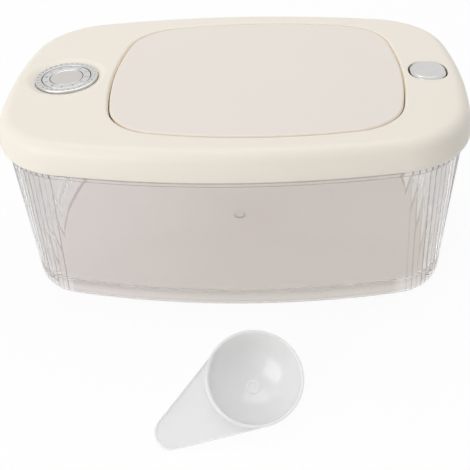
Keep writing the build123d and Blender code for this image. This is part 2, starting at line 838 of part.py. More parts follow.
with BuildPart() as pin_retainer:
    with BuildSketch(across_hinge(ear_outer + retainer_thickness)):
        Circle(retainer_radius)
        Circle(pin_radius + retainer_fit, mode=Mode.SUBTRACT)
    extrude(amount=retainer_thickness)

# Torsion spring: one leg stands on the bay's floor, the coil goes round the pin, the other leg hangs
coil_plane = across_hinge(door_spring_start)
stand_length = ear_height - door_spring_clearance
with BuildPart() as door_spring:
    with BuildLine() as door_spring_path:
        stand_top = coil_plane.from_local_coords(Vector(door_spring_radius, 0, 0))
        Line(stand_top - Vector(0, 0, stand_length), stand_top)
        coil(coil_plane, door_spring_radius, door_spring_length, door_spring_turn, 0, 1)
        leg_top = coil_plane.from_local_coords(Vector(-door_spring_radius, 0, door_spring_length))
        Line(leg_top, leg_top - Vector(0, 0, door_spring_leg))
    with BuildSketch(Plane(door_spring_path.wire() @ 0, z_dir=door_spring_path.wire() % 0)):
        Circle(door_spring_wire_radius)
    sweep(path=door_spring_path.wire())

# Push button: a hollow cap with side flanges and a slanted leg that drives the slider
leg_foot_z = deck_top_z + button_travel + leg_floor_gap


def slanted_leg(thickness, foot_z, head_z):
    """Outline of the leg at 45 degrees, on a plane whose X is +X and whose Y is +Z."""
    foot_x = leg_x + foot_z - slider_middle_z
    head_x = leg_x + head_z - slider_middle_z
    with BuildLine(mode=Mode.PRIVATE) as outline:
        Polyline(
            (foot_x - thickness / 2, foot_z),
            (foot_x + thickness / 2, foot_z),
            (head_x + thickness / 2, head_z),
            (head_x - thickness / 2, head_z),
            close=True,
        )
    return outline.edges()


with BuildPart() as push_button:
    with BuildSketch(Plane((button_x, 0, flange_z))):
        RectangleRounded(button_size, button_size, button_corner_radius)
    extrude(amount=button_top_z - flange_z)
    fillet(push_button.edges().group_by(Axis.Z)[-1], button_edge_radius)
    with BuildSketch(Plane((button_x, 0, flange_z))):
        Rectangle(button_flange_width, button_size + 2 * button_flange)
    extrude(amount=button_flange_thickness)
    with BuildSketch(Plane((button_x, 0, flange_z))):
        pocket = button_size - 2 * button_wall
        RectangleRounded(pocket, pocket, button_corner_radius - button_wall)
    extrude(amount=button_under_z - flange_z, mode=Mode.SUBTRACT)
    with BuildSketch(Plane.XZ):
        make_face(slanted_leg(leg_thickness, leg_foot_z, button_under_z))
    extrude(amount=leg_width / 2, both=True)

# Latch slider: a bolt with a slanted slot for the button's leg and a nose that snaps into the keeper
with BuildPart() as latch_slider:
    with BuildSketch(Plane(((nose_x + slider_end) / 2, 0, slider_z))):
        Rectangle(slider_end - nose_x, slider_width)
    extrude(amount=slider_thickness)
    chamfer(latch_slider.edges().filter_by(Axis.Y).group_by(Axis.Z)[-1].sort_by(Axis.X)[0], nose_chamfer)
    with BuildSketch(Plane.XZ):
        make_face(slanted_leg(leg_thickness + 2 * leg_fit, slider_z - overrun, slider_top_z + overrun))
    extrude(amount=leg_width / 2 + leg_fit, both=True, mode=Mode.SUBTRACT)

# Springs that return the button
button_spring_foot_z = deck_top_z + button_spring_wire_radius + button_spring_clearance
button_spring_rise = button_under_z - button_spring_wire_radius - button_spring_clearance - button_spring_foot_z
with BuildPart() as button_springs:
    for sign in (1, -1):
        with BuildLine() as button_spring_path:
            foot_plane = Plane((button_x, sign * button_spring_offset, button_spring_foot_z))
            coil(foot_plane, button_spring_radius, button_spring_rise, button_spring_turns, 0, 1)
        with BuildSketch(Plane(button_spring_path.wire() @ 0, z_dir=button_spring_path.wire() % 0)):
            Circle(button_spring_wire_radius)
        sweep(path=button_spring_path.wire())

# Date dial: a fixed bezel, a ring and a knob that turn by themselves, and the screw that holds them
bezel_radius = dial_well_radius - dial_clearance
bezel_inner = bezel_radius - bezel_width
month_radius = bezel_inner - dial_clearance
month_inner = month_radius - month_ring_width
bezel_top_z = cover_top_z + bezel_rise
month_top_z = bezel_top_z - month_ring_drop
ring_foot_z = well_z + dial_clearance
ledge_top_z = ring_foot_z + month_ledge
knob_radius = month_inner - dial_clearance
knob_top_z = month_top_z - knob_drop
hub_radius = month_inner - month_ledge_width - knob_hub_clearance
spindle_z = well_under_z - spindle_proud

with BuildPart() as dial_bezel:
    with BuildSketch(Plane((dial_x, 0, well_z))):
        Circle(bezel_radius)
        Circle(bezel_inner, mode=Mode.SUBTRACT)
    extrude(amount=bezel_top_z - well_z)
    bezel_edges = dial_bezel.edges().group_by(Axis.Z)[-1].sort_by(SortBy.RADIUS)
    fillet(bezel_edges[-1], bezel_edge_radius)
    chamfer(bezel_edges[0], bezel_inner_chamfer)

with BuildPart() as month_ring:
    with BuildSketch(Plane((dial_x, 0, ring_foot_z))):
        Circle(month_radius)
        Circle(month_inner, mode=Mode.SUBTRACT)
    extrude(amount=month_top_z - ring_foot_z)
    fillet(month_ring.edges().group_by(Axis.Z)[-1], month_ring_round)
    with BuildSketch(Plane((dial_x, 0, ring_foot_z))):
        Circle(month_inner)
        Circle(month_inner - month_ledge_width, mode=Mode.SUBTRACT)
    extrude(amount=month_ledge)

with BuildPart() as pointer_knob:
    with BuildSketch(Plane((dial_x, 0, ledge_top_z + dial_clearance))):
        Circle(knob_radius)
    extrude(amount=knob_top_z - ledge_top_z - dial_clearance)
    fillet(pointer_knob.edges().group_by(Axis.Z)[-1], month_ring_round)
    with BuildSketch(Plane((dial_x, 0, knob_top_z))):
        Circle(knob_dish_radius)
    extrude(amount=-knob_dish_depth, mode=Mode.SUBTRACT)
    with BuildSketch(Plane((dial_x, 0, ring_foot_z))):
        Circle(hub_radius)
    extrude(amount=ledge_top_z + dial_clearance - ring_foot_z)
    with BuildSketch(Plane((dial_x, 0, spindle_z))):
        Circle(spindle_radius)
    extrude(amount=ring_foot_z - spindle_z)
    with BuildSketch(Plane((dial_x, 0, spindle_z))):
        Circle(dial_screw_radius + screw_fit)
    extrude(amount=dial_screw_length + pilot_spare, mode=Mode.SUBTRACT)

with BuildPart() as dial_screw:
    with BuildSketch(Plane((dial_x, 0, spindle_z))):
        Circle(dial_screw_radius)
    extrude(amount=dial_screw_length)
    with BuildSketch(Plane((dial_x, 0, spindle_z))):
        Circle(dial_screw_head_radius)
    extrude(amount=-dial_screw_head_height)

# Scoop: a bowl cut from a sphere, with a tongue for a handle that slopes down to the floor.
# The bowl rolls on its sphere until the tongue's tip meets the floor, so the rim leans.
scoop_sphere = (scoop_rim_radius**2 + scoop_depth**2) / (2 * scoop_depth)
sphere_rise = scoop_sphere - scoop_depth
rim_z = scoop_sphere - sphere_rise * cos(radians(scoop_lean))
rim_centre = Vector(scoop_x, scoop_y, rim_z)
rim_normal = Vector(0, 0, 1).rotate(Axis.Y, scoop_lean).rotate(Axis.Z, scoop_lean_heading)
handle_heading = Vector(1, 0, 0).rotate(Axis.Z, scoop_handle_turn)
handle_heading = handle_heading.rotate(Axis.Y, scoop_lean).rotate(Axis.Z, scoop_lean_heading)
droop = radians(handle_droop)
tongue_heading = handle_heading * cos(droop) - rim_normal * sin(droop)
tongue_normal = rim_normal * cos(droop) + handle_heading * sin(droop)
tongue_plane = Plane(rim_centre, x_dir=tongue_heading, z_dir=tongue_normal).offset(-handle_bead)
profile_plane = Plane(rim_centre, x_dir=handle_heading, z_dir=handle_heading.cross(rim_normal))
hollow_radius = scoop_sphere - scoop_wall
hollow_rim = sqrt(hollow_radius**2 - sphere_rise**2)
tongue_root = scoop_rim_radius - scoop_lip / 2

with BuildPart() as scoop:
    with BuildSketch(tongue_plane):
        Circle(tongue_root)
        with Locations((handle_reach, 0)):
            Circle(handle_tip_radius)
        make_hull()
        with Locations((-tongue_root / 2, 0)):
            Rectangle(tongue_root, 2 * tongue_root, mode=Mode.SUBTRACT)
    extrude(amount=-handle_thickness)
    with BuildSketch(tongue_plane):
        Circle(tongue_root)
        with Locations((handle_reach, 0)):
            Circle(handle_tip_radius)
        make_hull()
        offset(amount=-handle_bead_width, mode=Mode.SUBTRACT)
        with Locations((-tongue_root / 2, 0)):
            Rectangle(tongue_root, 2 * tongue_root, mode=Mode.SUBTRACT)
    extrude(amount=handle_bead)
    # Bowl and its lip
    with BuildSketch(profile_plane):
        with BuildLine():
            lip_inner = scoop_rim_radius - scoop_lip
            outer_angle = lip_inner / scoop_sphere
            outer = (lip_inner, sphere_rise - sqrt(scoop_sphere**2 - lip_inner**2))
            middle_x = scoop_sphere * sin(outer_angle / 2)
            outer_middle = (middle_x, sphere_rise - sqrt(scoop_sphere**2 - middle_x**2))
            ThreePointArc((0, -scoop_depth), outer_middle, outer)
            Line(outer, (lip_inner, 0))
            Line((lip_inner, 0), (0, 0))
            Line((0, 0), (0, -scoop_depth))
        make_face()
        with Locations((lip_inner + scoop_lip / 2, -scoop_lip_height / 2)):
            Rectangle(scoop_lip, scoop_lip_height)
    revolve(axis=Axis(rim_centre, rim_normal))
    with BuildSketch(profile_plane):
        with BuildLine():
            middle_x = hollow_rim / 2
            hollow_middle = (middle_x, sphere_rise - sqrt(hollow_radius**2 - middle_x**2))
            ThreePointArc((0, sphere_rise - hollow_radius), hollow_middle, (hollow_rim, 0))
            Line((hollow_rim, 0), (hollow_rim, overrun))
            Line((hollow_rim, overrun), (0, overrun))
            Line((0, overrun), (0, sphere_rise - hollow_radius))
        make_face()
        # A low ring stays in the bottom of the bowl
        with Locations((nub_radius - nub_width / 2, sphere_rise - hollow_radius)):
            Rectangle(nub_width, 2 * nub_height, mode=Mode.SUBTRACT)
    revolve(axis=Axis(rim_centre, rim_normal), mode=Mode.SUBTRACT)

door_spring_gap = least_gap(door_spring_path.wire(), door_spring_wire_radius, tau * door_spring_radius)
button_spring_gap = least_gap(button_spring_path.wire(), button_spring_wire_radius, tau * button_spring_radius)
print(f"least gap between the door spring's turns: {door_spring_gap:.2f} mm")
print(f"least gap between a button spring's turns: {button_spring_gap:.2f} mm")

pieces = {
    "tub": tub,
    "rim_seal": rim_seal,
    "cover_shell": cover_shell,
    "inner_frame": inner_frame,
    "cover_screws": cover_screws,
    "door_panel": door_panel,
    "door_liner": door_liner,
    "door_screws": door_screws,
    "door_seal": door_seal,
    "hinge_pin": hinge_pin,
    "pin_retainer": pin_retainer,
    "door_spring": door_spring,
    "push_button": push_button,
    "latch_slider": latch_slider,
    "button_springs": button_springs,
    "dial_bezel": dial_bezel,
    "month_ring": month_ring,
    "pointer_knob": pointer_knob,
    "dial_screw": dial_screw,
    "scoop": scoop,
}
os.makedirs("parts", exist_ok=True)
for name, piece in pieces.items():
    piece.part.label = name
    export_step(piece.part, f"parts/{name}.step")
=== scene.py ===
from math import acos, atan2, cos, hypot, pi, radians, sin, sqrt, tan, tau

import bmesh
import bpy
from mathutils import Matrix, Vector


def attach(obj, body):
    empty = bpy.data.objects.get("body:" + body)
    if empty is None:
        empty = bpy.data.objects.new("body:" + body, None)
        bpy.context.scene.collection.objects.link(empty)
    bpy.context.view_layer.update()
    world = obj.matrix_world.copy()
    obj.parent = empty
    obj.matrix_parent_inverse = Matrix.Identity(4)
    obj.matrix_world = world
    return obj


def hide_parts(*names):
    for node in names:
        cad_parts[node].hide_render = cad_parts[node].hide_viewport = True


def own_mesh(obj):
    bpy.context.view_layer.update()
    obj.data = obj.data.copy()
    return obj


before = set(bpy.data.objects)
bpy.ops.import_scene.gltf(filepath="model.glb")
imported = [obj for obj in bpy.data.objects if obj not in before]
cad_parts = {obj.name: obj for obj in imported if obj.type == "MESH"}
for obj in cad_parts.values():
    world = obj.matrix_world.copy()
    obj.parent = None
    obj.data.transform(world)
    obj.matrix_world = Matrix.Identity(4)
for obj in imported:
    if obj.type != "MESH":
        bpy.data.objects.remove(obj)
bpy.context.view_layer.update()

scene = bpy.context.scene

# Tub: one injection moulding in clear, faintly warm styrene plastic. The front and the back are smooth, the
# ends and corners are rows of upright convex reeds, a smooth band runs under the cover, and the floor stands
# on a foot ring. A small round mark in the floor is where the plastic was let into the mould.
mm = 0.001  # sizes are in millimetres, and Blender's are in metres
crease = radians(35)
reed_count = 50
reed_steps = 10
reed_height = 0.2
side_steps = 44
reed_top = 109.5
band_top = 114.5
band_proud = 1.05
rim_top = 121.5
neck_inset = 0.5
neck_inner = 2.5
tub_wall = 2.3
tub_edge = 6.3
foot_inner = 18.0
foot_ring = 9.3
foot_outer = 7.5
floor_under = 6.0
floor_top = 9.0
floor_round = 10.0
gate_radius = 4.0
gate_foot = 5.3


class Link:
    """One socket of a node tree. Plain arithmetic on links adds Math nodes to the tree."""

    def __init__(self, tree, socket=None):
        self.tree = tree
        self.socket = socket

    def node(self, kind, sockets=None, output=0, **settings):
        made = self.tree.nodes.new(kind)
        for name, value in settings.items():
            setattr(made, name, value)
        for name, value in (sockets or {}).items():
            if isinstance(value, Link):
                self.tree.links.new(value.socket, made.inputs[name])
            else:
                made.inputs[name].default_value = value
        return Link(self.tree, made.outputs[output]) if len(made.outputs) else None

    def maths(self, operation, first, second):
        return self.node("ShaderNodeMath", {0: first, 1: second}, operation=operation)

    def __add__(self, other):
        return self.maths("ADD", self, other)

    def __sub__(self, other):
        return self.maths("SUBTRACT", self, other)

    def __mul__(self, other):
        return self.maths("MULTIPLY", self, other)

    def __pow__(self, other):
        return self.maths("POWER", self, other)

    def __rsub__(self, other):
        return self.maths("SUBTRACT", other, self)

    __radd__ = __add__
    __rmul__ = __mul__

    def least(self, other):
        return self.maths("MINIMUM", self, other)

    def most(self, other):
        return self.maths("MAXIMUM", self, other)


def new_finish(name):
    """An empty material, and the link that its nodes grow from."""
    made = bpy.data.materials.new(name)
    made.use_nodes = True
    made.node_tree.nodes.clear()
    return made, Link(made.node_tree)


def blended(link, share, first, second):
    """A colour between two colours."""
    return link.node("ShaderNodeMix", {0: share, 6: first, 7: second}, output=2, data_type="RGBA")


def own_place(link):
    return link.node("ShaderNodeTexCoord", output="Object")


def own_axis(link, axis):
    return link.node("ShaderNodeSeparateXYZ", {"Vector": own_place(link)}, output=axis)


def clouds(link, scale, detail=2.0, stretch=(1.0, 1.0, 1.0)):
    """Soft noise on the piece's own coordinates, from nought to one, with so many patches to the metre."""
    stretched = link.node("ShaderNodeMapping", {"Vector": own_place(link), "Scale": stretch})
    return link.node("ShaderNodeTexNoise", {"Vector": stretched, "Scale": scale, "Detail": detail})


def bumps(link, height, strength, distance):
    """A surface direction that follows a fine relief, so many metres deep."""
    return link.node("ShaderNodeBump", {"Strength": strength, "Distance": distance, "Height": height})


def painted(link, name):
    """A value that is kept on the points of the mesh."""
    return link.node("ShaderNodeAttribute", output="Fac", attribute_name=name)


def surfaced(link, sockets):
    surface = link.node("ShaderNodeBsdfPrincipled", sockets)
    link.node("ShaderNodeOutputMaterial", {"Surface": surface})


def bowed_outline(half_length, half_depth, side_radius, end_radius, corner_radius, end_steps, centre_x=0.0):
    """Eight tangent arcs, anticlockwise from the right front corner, as (centre x, y, radius, direction).
    The corners and the ends are divided by length, so that the reeds are equally wide."""
    side_y = half_depth - side_radius
    end_x = half_length - end_radius
    side_reach = side_radius - corner_radius
    end_reach = end_radius - corner_radius
    span = hypot(end_x, side_y)
    along = (side_reach**2 - end_reach**2 + span**2) / (2 * span)
    across = sqrt(side_reach**2 - along**2)
    run_x, run_y = end_x / span, -side_y / span
    corner_x = run_x * along + run_y * across
    corner_y = side_y + run_y * along - run_x * across
    end_turn = atan2(corner_y, corner_x - end_x)
    side_turn = atan2(corner_y - side_y, corner_x)
    made = []
    for flip in (0, pi):
        way = cos(flip)
        arcs = (
            (way * corner_x, -way * corner_y, corner_radius, flip - side_turn, flip - end_turn),
            (way * end_x, 0.0, end_radius, flip - end_turn, flip + end_turn),
            (way * corner_x, way * corner_y, corner_radius, flip + end_turn, flip + side_turn),
        )
        lengths = [radius * (stop - start) for _, _, radius, start, stop in arcs]
        for step in range(end_steps):
            run = sum(lengths) * step / end_steps
            number = 0
            while run > lengths[number] and number < 2:
                run -= lengths[number]
                number += 1
            x, y, radius, start, _ = arcs[number]
            made.append((centre_x + x, y, radius, start + run / radius))
        for step in range(side_steps):
            turn = flip + side_turn + (pi - 2 * side_turn) * step / side_steps
            made.append((centre_x, way * side_y, side_radius, turn))
    return made


def ring(outline, inset, height):
    """Points of an outline moved inwards, at one height."""
    return [
        (x + (radius - inset) * cos(turn), y + (radius - inset) * sin(turn), height)
        for x, y, radius, turn in outline
    ]


def between(low, high, share):
    return [Vector(a).lerp(Vector(b), share) for a, b in zip(low, high)]


def rounded(corners, steps=6):
    """Points of a profile. Each corner is (across, up, radius), and one with a radius becomes an arc."""
    made = []
    for number, (across, up, radius) in enumerate(corners):
        here = Vector((across, up))
        if radius == 0 or number in (0, len(corners) - 1):
            made.append(here)
            continue
        back = (Vector(corners[number - 1][:2]) - here).normalized()
        on = (Vector(corners[number + 1][:2]) - here).normalized()
        half = acos(max(-1.0, min(1.0, back.dot(on)))) / 2
        centre = here + (back + on).normalized() * (radius / sin(half))
        first = here + back * (radius / tan(half)) - centre
        last = here + on * (radius / tan(half)) - centre
        bend = first.angle_signed(last)
        for step in range(steps + 1):
            made.append(centre + Matrix.Rotation(-bend * step / steps, 2) @ first)
    return made


def add_rows(shape, rows, closed=False):
    """Joins rows of points, in millimetres, with faces. A row of one point is a pole."""
    made = [[shape.verts.new(Vector(point) * mm) for point in row] for row in rows]
    for low, high in zip(made, made[1:] + (made[:1] if closed else [])):
        count = max(len(low), len(high))
        for here in range(count):
            on = (here + 1) % count
            corners = (
                low[here % len(low)], low[on % len(low)], high[on % len(high)], high[here % len(high)]
            )
            shape.faces.new(list(dict.fromkeys(corners)))
    return made


def smoothed(mesh):
    """Smooth shading but for edges that are bent by more than the crease."""
    mesh.shade_smooth()
    mesh.set_sharp_from_angle(angle=crease)


def new_object(name, data):
    made = bpy.data.objects.new(name, data)
    scene.collection.objects.link(made)
    return made


def new_piece(name, shape, finish):
    mesh = bpy.data.meshes.new(name)
    shape.to_mesh(mesh)
    shape.free()
    smoothed(mesh)
    mesh.materials.append(finish)
    return new_object(name, mesh)


def new_tree(name, sizes):
    """A Geometry Nodes tree with a geometry and named sizes going in, and its first link."""
    tree = bpy.data.node_groups.new(name, "GeometryNodeTree")
    tree.interface.new_socket("Geometry", in_out="INPUT", socket_type="NodeSocketGeometry")
    for size, kind in sizes.items():
        tree.interface.new_socket(size, in_out="INPUT", socket_type=kind)
    tree.interface.new_socket("Geometry", in_out="OUTPUT", socket_type="NodeSocketGeometry")
    return Link(tree)


def end_tree(geometry):
    """Ends a tree: real faces, one finish."""
    real = geometry.node("GeometryNodeRealizeInstances", {"Geometry": geometry})
    finish = geometry.node("NodeGroupInput", output="Finish")
    coated = geometry.node("GeometryNodeSetMaterial", {"Geometry": real, "Material": finish})
    geometry.node("NodeGroupOutput", {"Geometry": coated})


def bake_tree(piece, tree, values):
    """Runs a tree on a piece and keeps the result as its plain mesh."""
    modifier = piece.modifiers.new(tree.name, "NODES")
    modifier.node_group = tree
    for item in tree.interface.items_tree:
        if item.in_out == "INPUT" and item.name in values:
            modifier[item.identifier] = values[item.name]
    seen = piece.evaluated_get(bpy.context.evaluated_depsgraph_get())
    mesh = bpy.data.meshes.new_from_object(seen)
    piece.modifiers.remove(modifier)
    piece.data = mesh
    smoothed(mesh)


# Painted light: towards the dial the walls are painted deeper and the floor paler. Grooves and thick edges
# are painted grey at a slant, as painted shade.
wall_deep, wall_pale = (0.955, 0.945, 0.937, 1.0), (0.97, 0.96, 0.952, 1.0)
wall_near_dial = (0.905, 0.893, 0.885, 1.0)
# The floor's tint is painted shade: the tub's shadow on the studio floor, seen through the floor
floor_deep, floor_pale = (0.632, 0.574, 0.526, 1.0), (0.652, 0.594, 0.546, 1.0)
floor_near_dial = (0.765, 0.7, 0.683, 1.0)
painted_shade_grey = (0.2, 0.19, 0.185, 1.0)
dial_end_start, dial_end_rise = 0.02, 7.0
edge_ahead, edge_slanted, edge_most = 0.1, 3.4, 0.9
clear_plastic, link = new_finish("clear_plastic")
haze = clouds(link, scale=14.0, detail=3.0)
flow = clouds(link, scale=60.0, stretch=(1.0, 1.0, 0.25))
dial_end_painted_light = (dial_end_start - dial_end_rise * own_axis(link, "X")).most(0.0).least(1.0)
wall_tint = blended(link, dial_end_painted_light, blended(link, haze, wall_deep, wall_pale), wall_near_dial)
floor_shade_tint = blended(link, dial_end_painted_light, blended(link, haze, floor_deep, floor_pale), floor_near_dial)
plain_tint = blended(link, painted(link, "floor_share"), wall_tint, floor_shade_tint)
slant = link.node("ShaderNodeLayerWeight", {"Blend": 0.5}, output="Facing")
painted_shade_share = (painted(link, "line_shade") * (edge_ahead + edge_slanted * slant**2.0)).least(edge_most)
surfaced(link, {
    "Base Color": blended(link, painted_shade_share, plain_tint, painted_shade_grey),
    "Roughness": 0.02 + 0.03 * haze,
    "Normal": bumps(link, flow, strength=0.04, distance=0.0004),
    "IOR": 1.2,
    "Transmission Weight": 0.92,
})

reed_points = reed_count * reed_steps
# Half length and half depth, then the radii of sides, ends and corners
tub_foot = bowed_outline(157.2, 102.2, 609.2, 317.2, 40.0, end_steps=reed_points)
tub_top = bowed_outline(160.3, 105.3, 612.3, 320.3, 55.3, end_steps=reed_points)


def outer_wall(inset, height):
    share = height / reed_top
    return between(ring(tub_foot, inset, height), ring(tub_top, inset, height), share)


def inner_wall(inset, height):
    share = (height - floor_top) / (rim_top - floor_top)
    low = ring(tub_foot, tub_wall + inset, height)
    return between(low, ring(tub_top, neck_inner + inset, height), share)


def floor_circle(radius, height):
    turns = [atan2(y, x) for x, y, _ in ring(tub_foot, 0.0, 0.0)]
    return [(radius * cos(turn), radius * sin(turn), height) for turn in turns]


rows = []


def add_row(points, limit=0.0, dark=0.0, tint=0.0, grooves=0.0, end_share=1.0):
    """One row of the tub's mesh: how far its reeds may stand out, how much painted shade it has along the
    smooth sides, its share of the floor's painted shade tint, how much painted shade its grooves have, and
    what the reeded ends keep of painted shade and tint."""
    rows.append((points, limit, dark, tint, grooves, end_share))


# One run of rows: from the gate mark over the foot ring, up the wall, over the rim and down to the floor
arc_steps = 8
small_arc_steps = 4
arc_turns = [pi / 2 * step / arc_steps for step in range(arc_steps + 1)]
# The gate mark's ring is painted dark, as painted shade
gate_rows = (  # radius, height, dark
    (gate_radius - 2.0, gate_foot, 0.0), (gate_radius - 1.0, gate_foot, 1.0),
    (gate_radius - 0.4, gate_foot + 0.1, 1.5), (gate_radius, gate_foot + 0.35, 1.5),
    (gate_radius + 0.4, floor_under - 0.1, 1.5), (gate_radius + 1.0, floor_under, 1.0),
    (gate_radius + 2.2, floor_under, 0.0),
)
add_row([(0.0, 0.0, gate_foot)], tint=1.0)
for radius, height, dark in gate_rows:
    add_row(floor_circle(radius, height), dark=dark, tint=1.0)
# The foot's rounding and strip are painted darker and take the floor's painted shade tint, as painted shade
foot_painted_shade, foot_tint, foot_end_share = 0.22, 0.8, 0.4
foot = [(foot_inner, floor_under, 0), (foot_ring, floor_under, 1.0), (foot_ring, 0, 0.5), (foot_outer, 0, 0)]
for inset, height in rounded(foot, small_arc_steps):
    add_row(ring(tub_foot, inset, height), tint=foot_tint)
for turn in arc_turns:
    points = outer_wall(tub_edge * (1 - sin(turn)), tub_edge * (1 - cos(turn)))
    add_row(points, dark=foot_painted_shade, tint=foot_tint, grooves=1.0, end_share=foot_end_share)
foot_strip = (  # height, dark, tint
    (8.0, 0.05, 0.7), (10.0, 0.2, 0.7), (12.5, 0.5, 0.75), (15.5, 0.8, 0.85), (17.4, 0.75, 0.9)
)
for height, dark, tint in foot_strip:
    points = outer_wall(0.0, height)
    add_row(points, limit=band_proud, dark=dark, tint=tint, grooves=1.0, end_share=foot_end_share)
for height in (18.4, 40.0, 75.0, 107.0, 109.0, reed_top - 0.02):
    add_row(outer_wall(0.0, height), limit=band_proud, grooves=1.0)
# The band's top is painted dark as the cover overhang's painted shadow, and its reeded ends get dark painted
# dashes
band_painted_shadow, band_grooves, band_end_share = 2.3, 5.0, 0.3
band_middle = 112.0
band = [(0.0, reed_top, 0), (-band_proud, reed_top, 0.3)]
band += [(-band_proud, band_middle - 0.3, 0), (-band_proud, band_middle + 0.3, 0)]
band += [(-band_proud, band_top, 0.5), (neck_inset, band_top, 0.4)]
band += [(neck_inset, rim_top, 0.5), (neck_inner, rim_top, 0.5), (neck_inner, rim_top - 1.5, 0)]
for inset, height in rounded(band, small_arc_steps):
    dark = band_painted_shadow if inset <= 0 and height > band_middle else 0.0
    grooves = band_grooves if inset <= 0 and reed_top + 0.2 < height < band_top - 0.3 else 0.0
    add_row(ring(tub_top, inset, height), dark=dark, grooves=grooves, end_share=band_end_share)
for height in (80.0, 30.0, floor_top + floor_round + 1.0):
    add_row(inner_wall(0.0, height))
floor_tint_power = 0.8
for step, turn in enumerate(arc_turns):
    points = inner_wall(floor_round * (1 - cos(turn)), floor_top + floor_round * (1 - sin(turn)))
    add_row(points, tint=(step / arc_steps) ** floor_tint_power)
add_row(inner_wall(floor_round + 0.4, floor_top), tint=1.0)
add_row([(0.0, 0.0, floor_top)], tint=1.0)
shape = bmesh.new()
add_rows(shape, [row[0] for row in rows])
tub = new_piece("clear_tub", shape, clear_plastic)

# What the points keep: each reed's phase and way out, and the painted shade of the grooves, which is
# unequally strong
groove_shares = (1.0, 0.22)
groove_shade_strengths = (1.2, 0.6, 1.0, 0.5, 1.4)
phases, limits, darks, tints, outwards = [], [], [], [], []
for points, limit, dark, tint, grooves, end_share in rows:
    for number in range(len(points)):
        step = number % (reed_points + side_steps)
        reeded = step < reed_points
        share = end_share if reeded else 1.0
        nearest = round(step / reed_steps)
        offset = abs(step - nearest * reed_steps)
        grooved = offset < len(groove_shares) and 0 < nearest < reed_count
        groove = groove_shares[offset] * groove_shade_strengths[nearest % len(groove_shade_strengths)] if grooved else 0.0
        phases.append(step % reed_steps / reed_steps if reeded else 0.0)
        limits.append(limit)
        darks.append(grooves * groove + dark * share)
        tints.append(tint * share)
        turn = tub_top[number][3]
        outwards += (cos(turn), sin(turn), 0.0)
kept = {"reed_phase": phases, "reed_limit": limits, "line_shade": darks, "floor_share": tints}
for name, values in kept.items():
    tub.data.attributes.new(name, "FLOAT", "POINT").data.foreach_set("value", values)
tub.data.attributes.new("outward", "FLOAT_VECTOR", "POINT").data.foreach_set("vector", outwards)

# The reeds: each stands out from the plain wall as a low round, and fades into the foot's rounding
link = new_tree("reeded_wall", {"Reed height": "NodeSocketFloat", "Finish": "NodeSocketMaterial"})


def stored(link, name, kind="FLOAT"):
    return link.node("GeometryNodeInputNamedAttribute", {"Name": name}, data_type=kind)


crown = 1 - (2 * stored(link, "reed_phase") - 1) ** 2.0
rise = (crown * link.node("NodeGroupInput", output="Reed height")).least(stored(link, "reed_limit") * mm)
outward = stored(link, "outward", "FLOAT_VECTOR")
push = link.node("ShaderNodeVectorMath", {0: outward, "Scale": rise}, operation="SCALE")
wall = link.node("NodeGroupInput", output="Geometry")
end_tree(link.node("GeometryNodeSetPosition", {"Geometry": wall, "Offset": push}))
bake_tree(tub, link.tree, {"Reed height": reed_height * mm, "Finish": clear_plastic})
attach(tub, "tub")
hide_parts("tub")

# Rim seal: a soft, off-white silicone ring with a dull skin, moulded in one piece. It lies on the tub's rim
# and is pressed by the inner frame above it. The CAD solid has its shape, so it only gets its finish here.


def tone(red, green, blue):
    """A colour as it looks in a picture, 0 to 255, turned into the light that a surface sends back."""
    levels = [((level / 255 + 0.055) / 1.055) ** 2.4 for level in (red, green, blue)]
    return (*levels, 1.0)


# Painted shade and glow of the groove round the door: a tan colour and a faint glow colour
groove_shade_tan = tone(224, 213, 195)
groove_painted_glow = tone(150, 137, 115)
black = (0.0, 0.0, 0.0, 1.0)
moulded_spread = 0.06


def moulded(name, pale, deep, gloss, grain, dent, glow=None, painted_shade_top=None):
    """Moulded plastic or rubber: faint cloudy colour, uneven gloss and a fine skin from the mould. It can be
    painted tan below a height as painted shade, or painted tan with a faint painted glow by a share that the
    points keep."""
    made, link = new_finish(name)
    cloud = clouds(link, scale=16.0, detail=4.0)
    skin = clouds(link, scale=grain)
    colour = blended(link, cloud, deep, pale)
    light = black
    if painted_shade_top:
        low = ((painted_shade_top * mm - own_axis(link, "Z")) * (1 / mm)).most(0.0).least(1.0)
        colour = blended(link, low, colour, groove_shade_tan)
    if glow:
        share = painted(link, glow)
        colour = blended(link, share, colour, groove_shade_tan)
        light = blended(link, share**4.0, black, groove_painted_glow)
    surfaced(link, {
        "Base Color": colour,
        "Roughness": gloss - moulded_spread + 2 * moulded_spread * skin,
        "Normal": bumps(link, skin, strength=dent, distance=0.0002),
        "IOR": 1.5,
        "Emission Color": light,
        "Emission Strength": 1.0 if glow else 0.0,
    })
    return made


def coat_node(name, finish):
    """Gives a solid of the frame its finish."""
    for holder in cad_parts[name].material_slots:
        holder.material = finish


seal_rubber = moulded(
    "seal_rubber", tone(226, 224, 219), tone(217, 214, 208), gloss=0.6, grain=1400.0, dent=0.12
)
coat_node("rim_seal", seal_rubber)

# Inner frame: an off-white polypropylene moulding that plugs the tub. It carries the mouth's collar, the
# door's tray, the hinge ears and the latch bay, and is screwed up into the cover from below.
frame_plastic = moulded(
    "frame_plastic", tone(236, 232, 224), tone(229, 224, 215), gloss=0.45, grain=1100.0, dent=0.15
)
coat_node("inner_frame", frame_plastic)

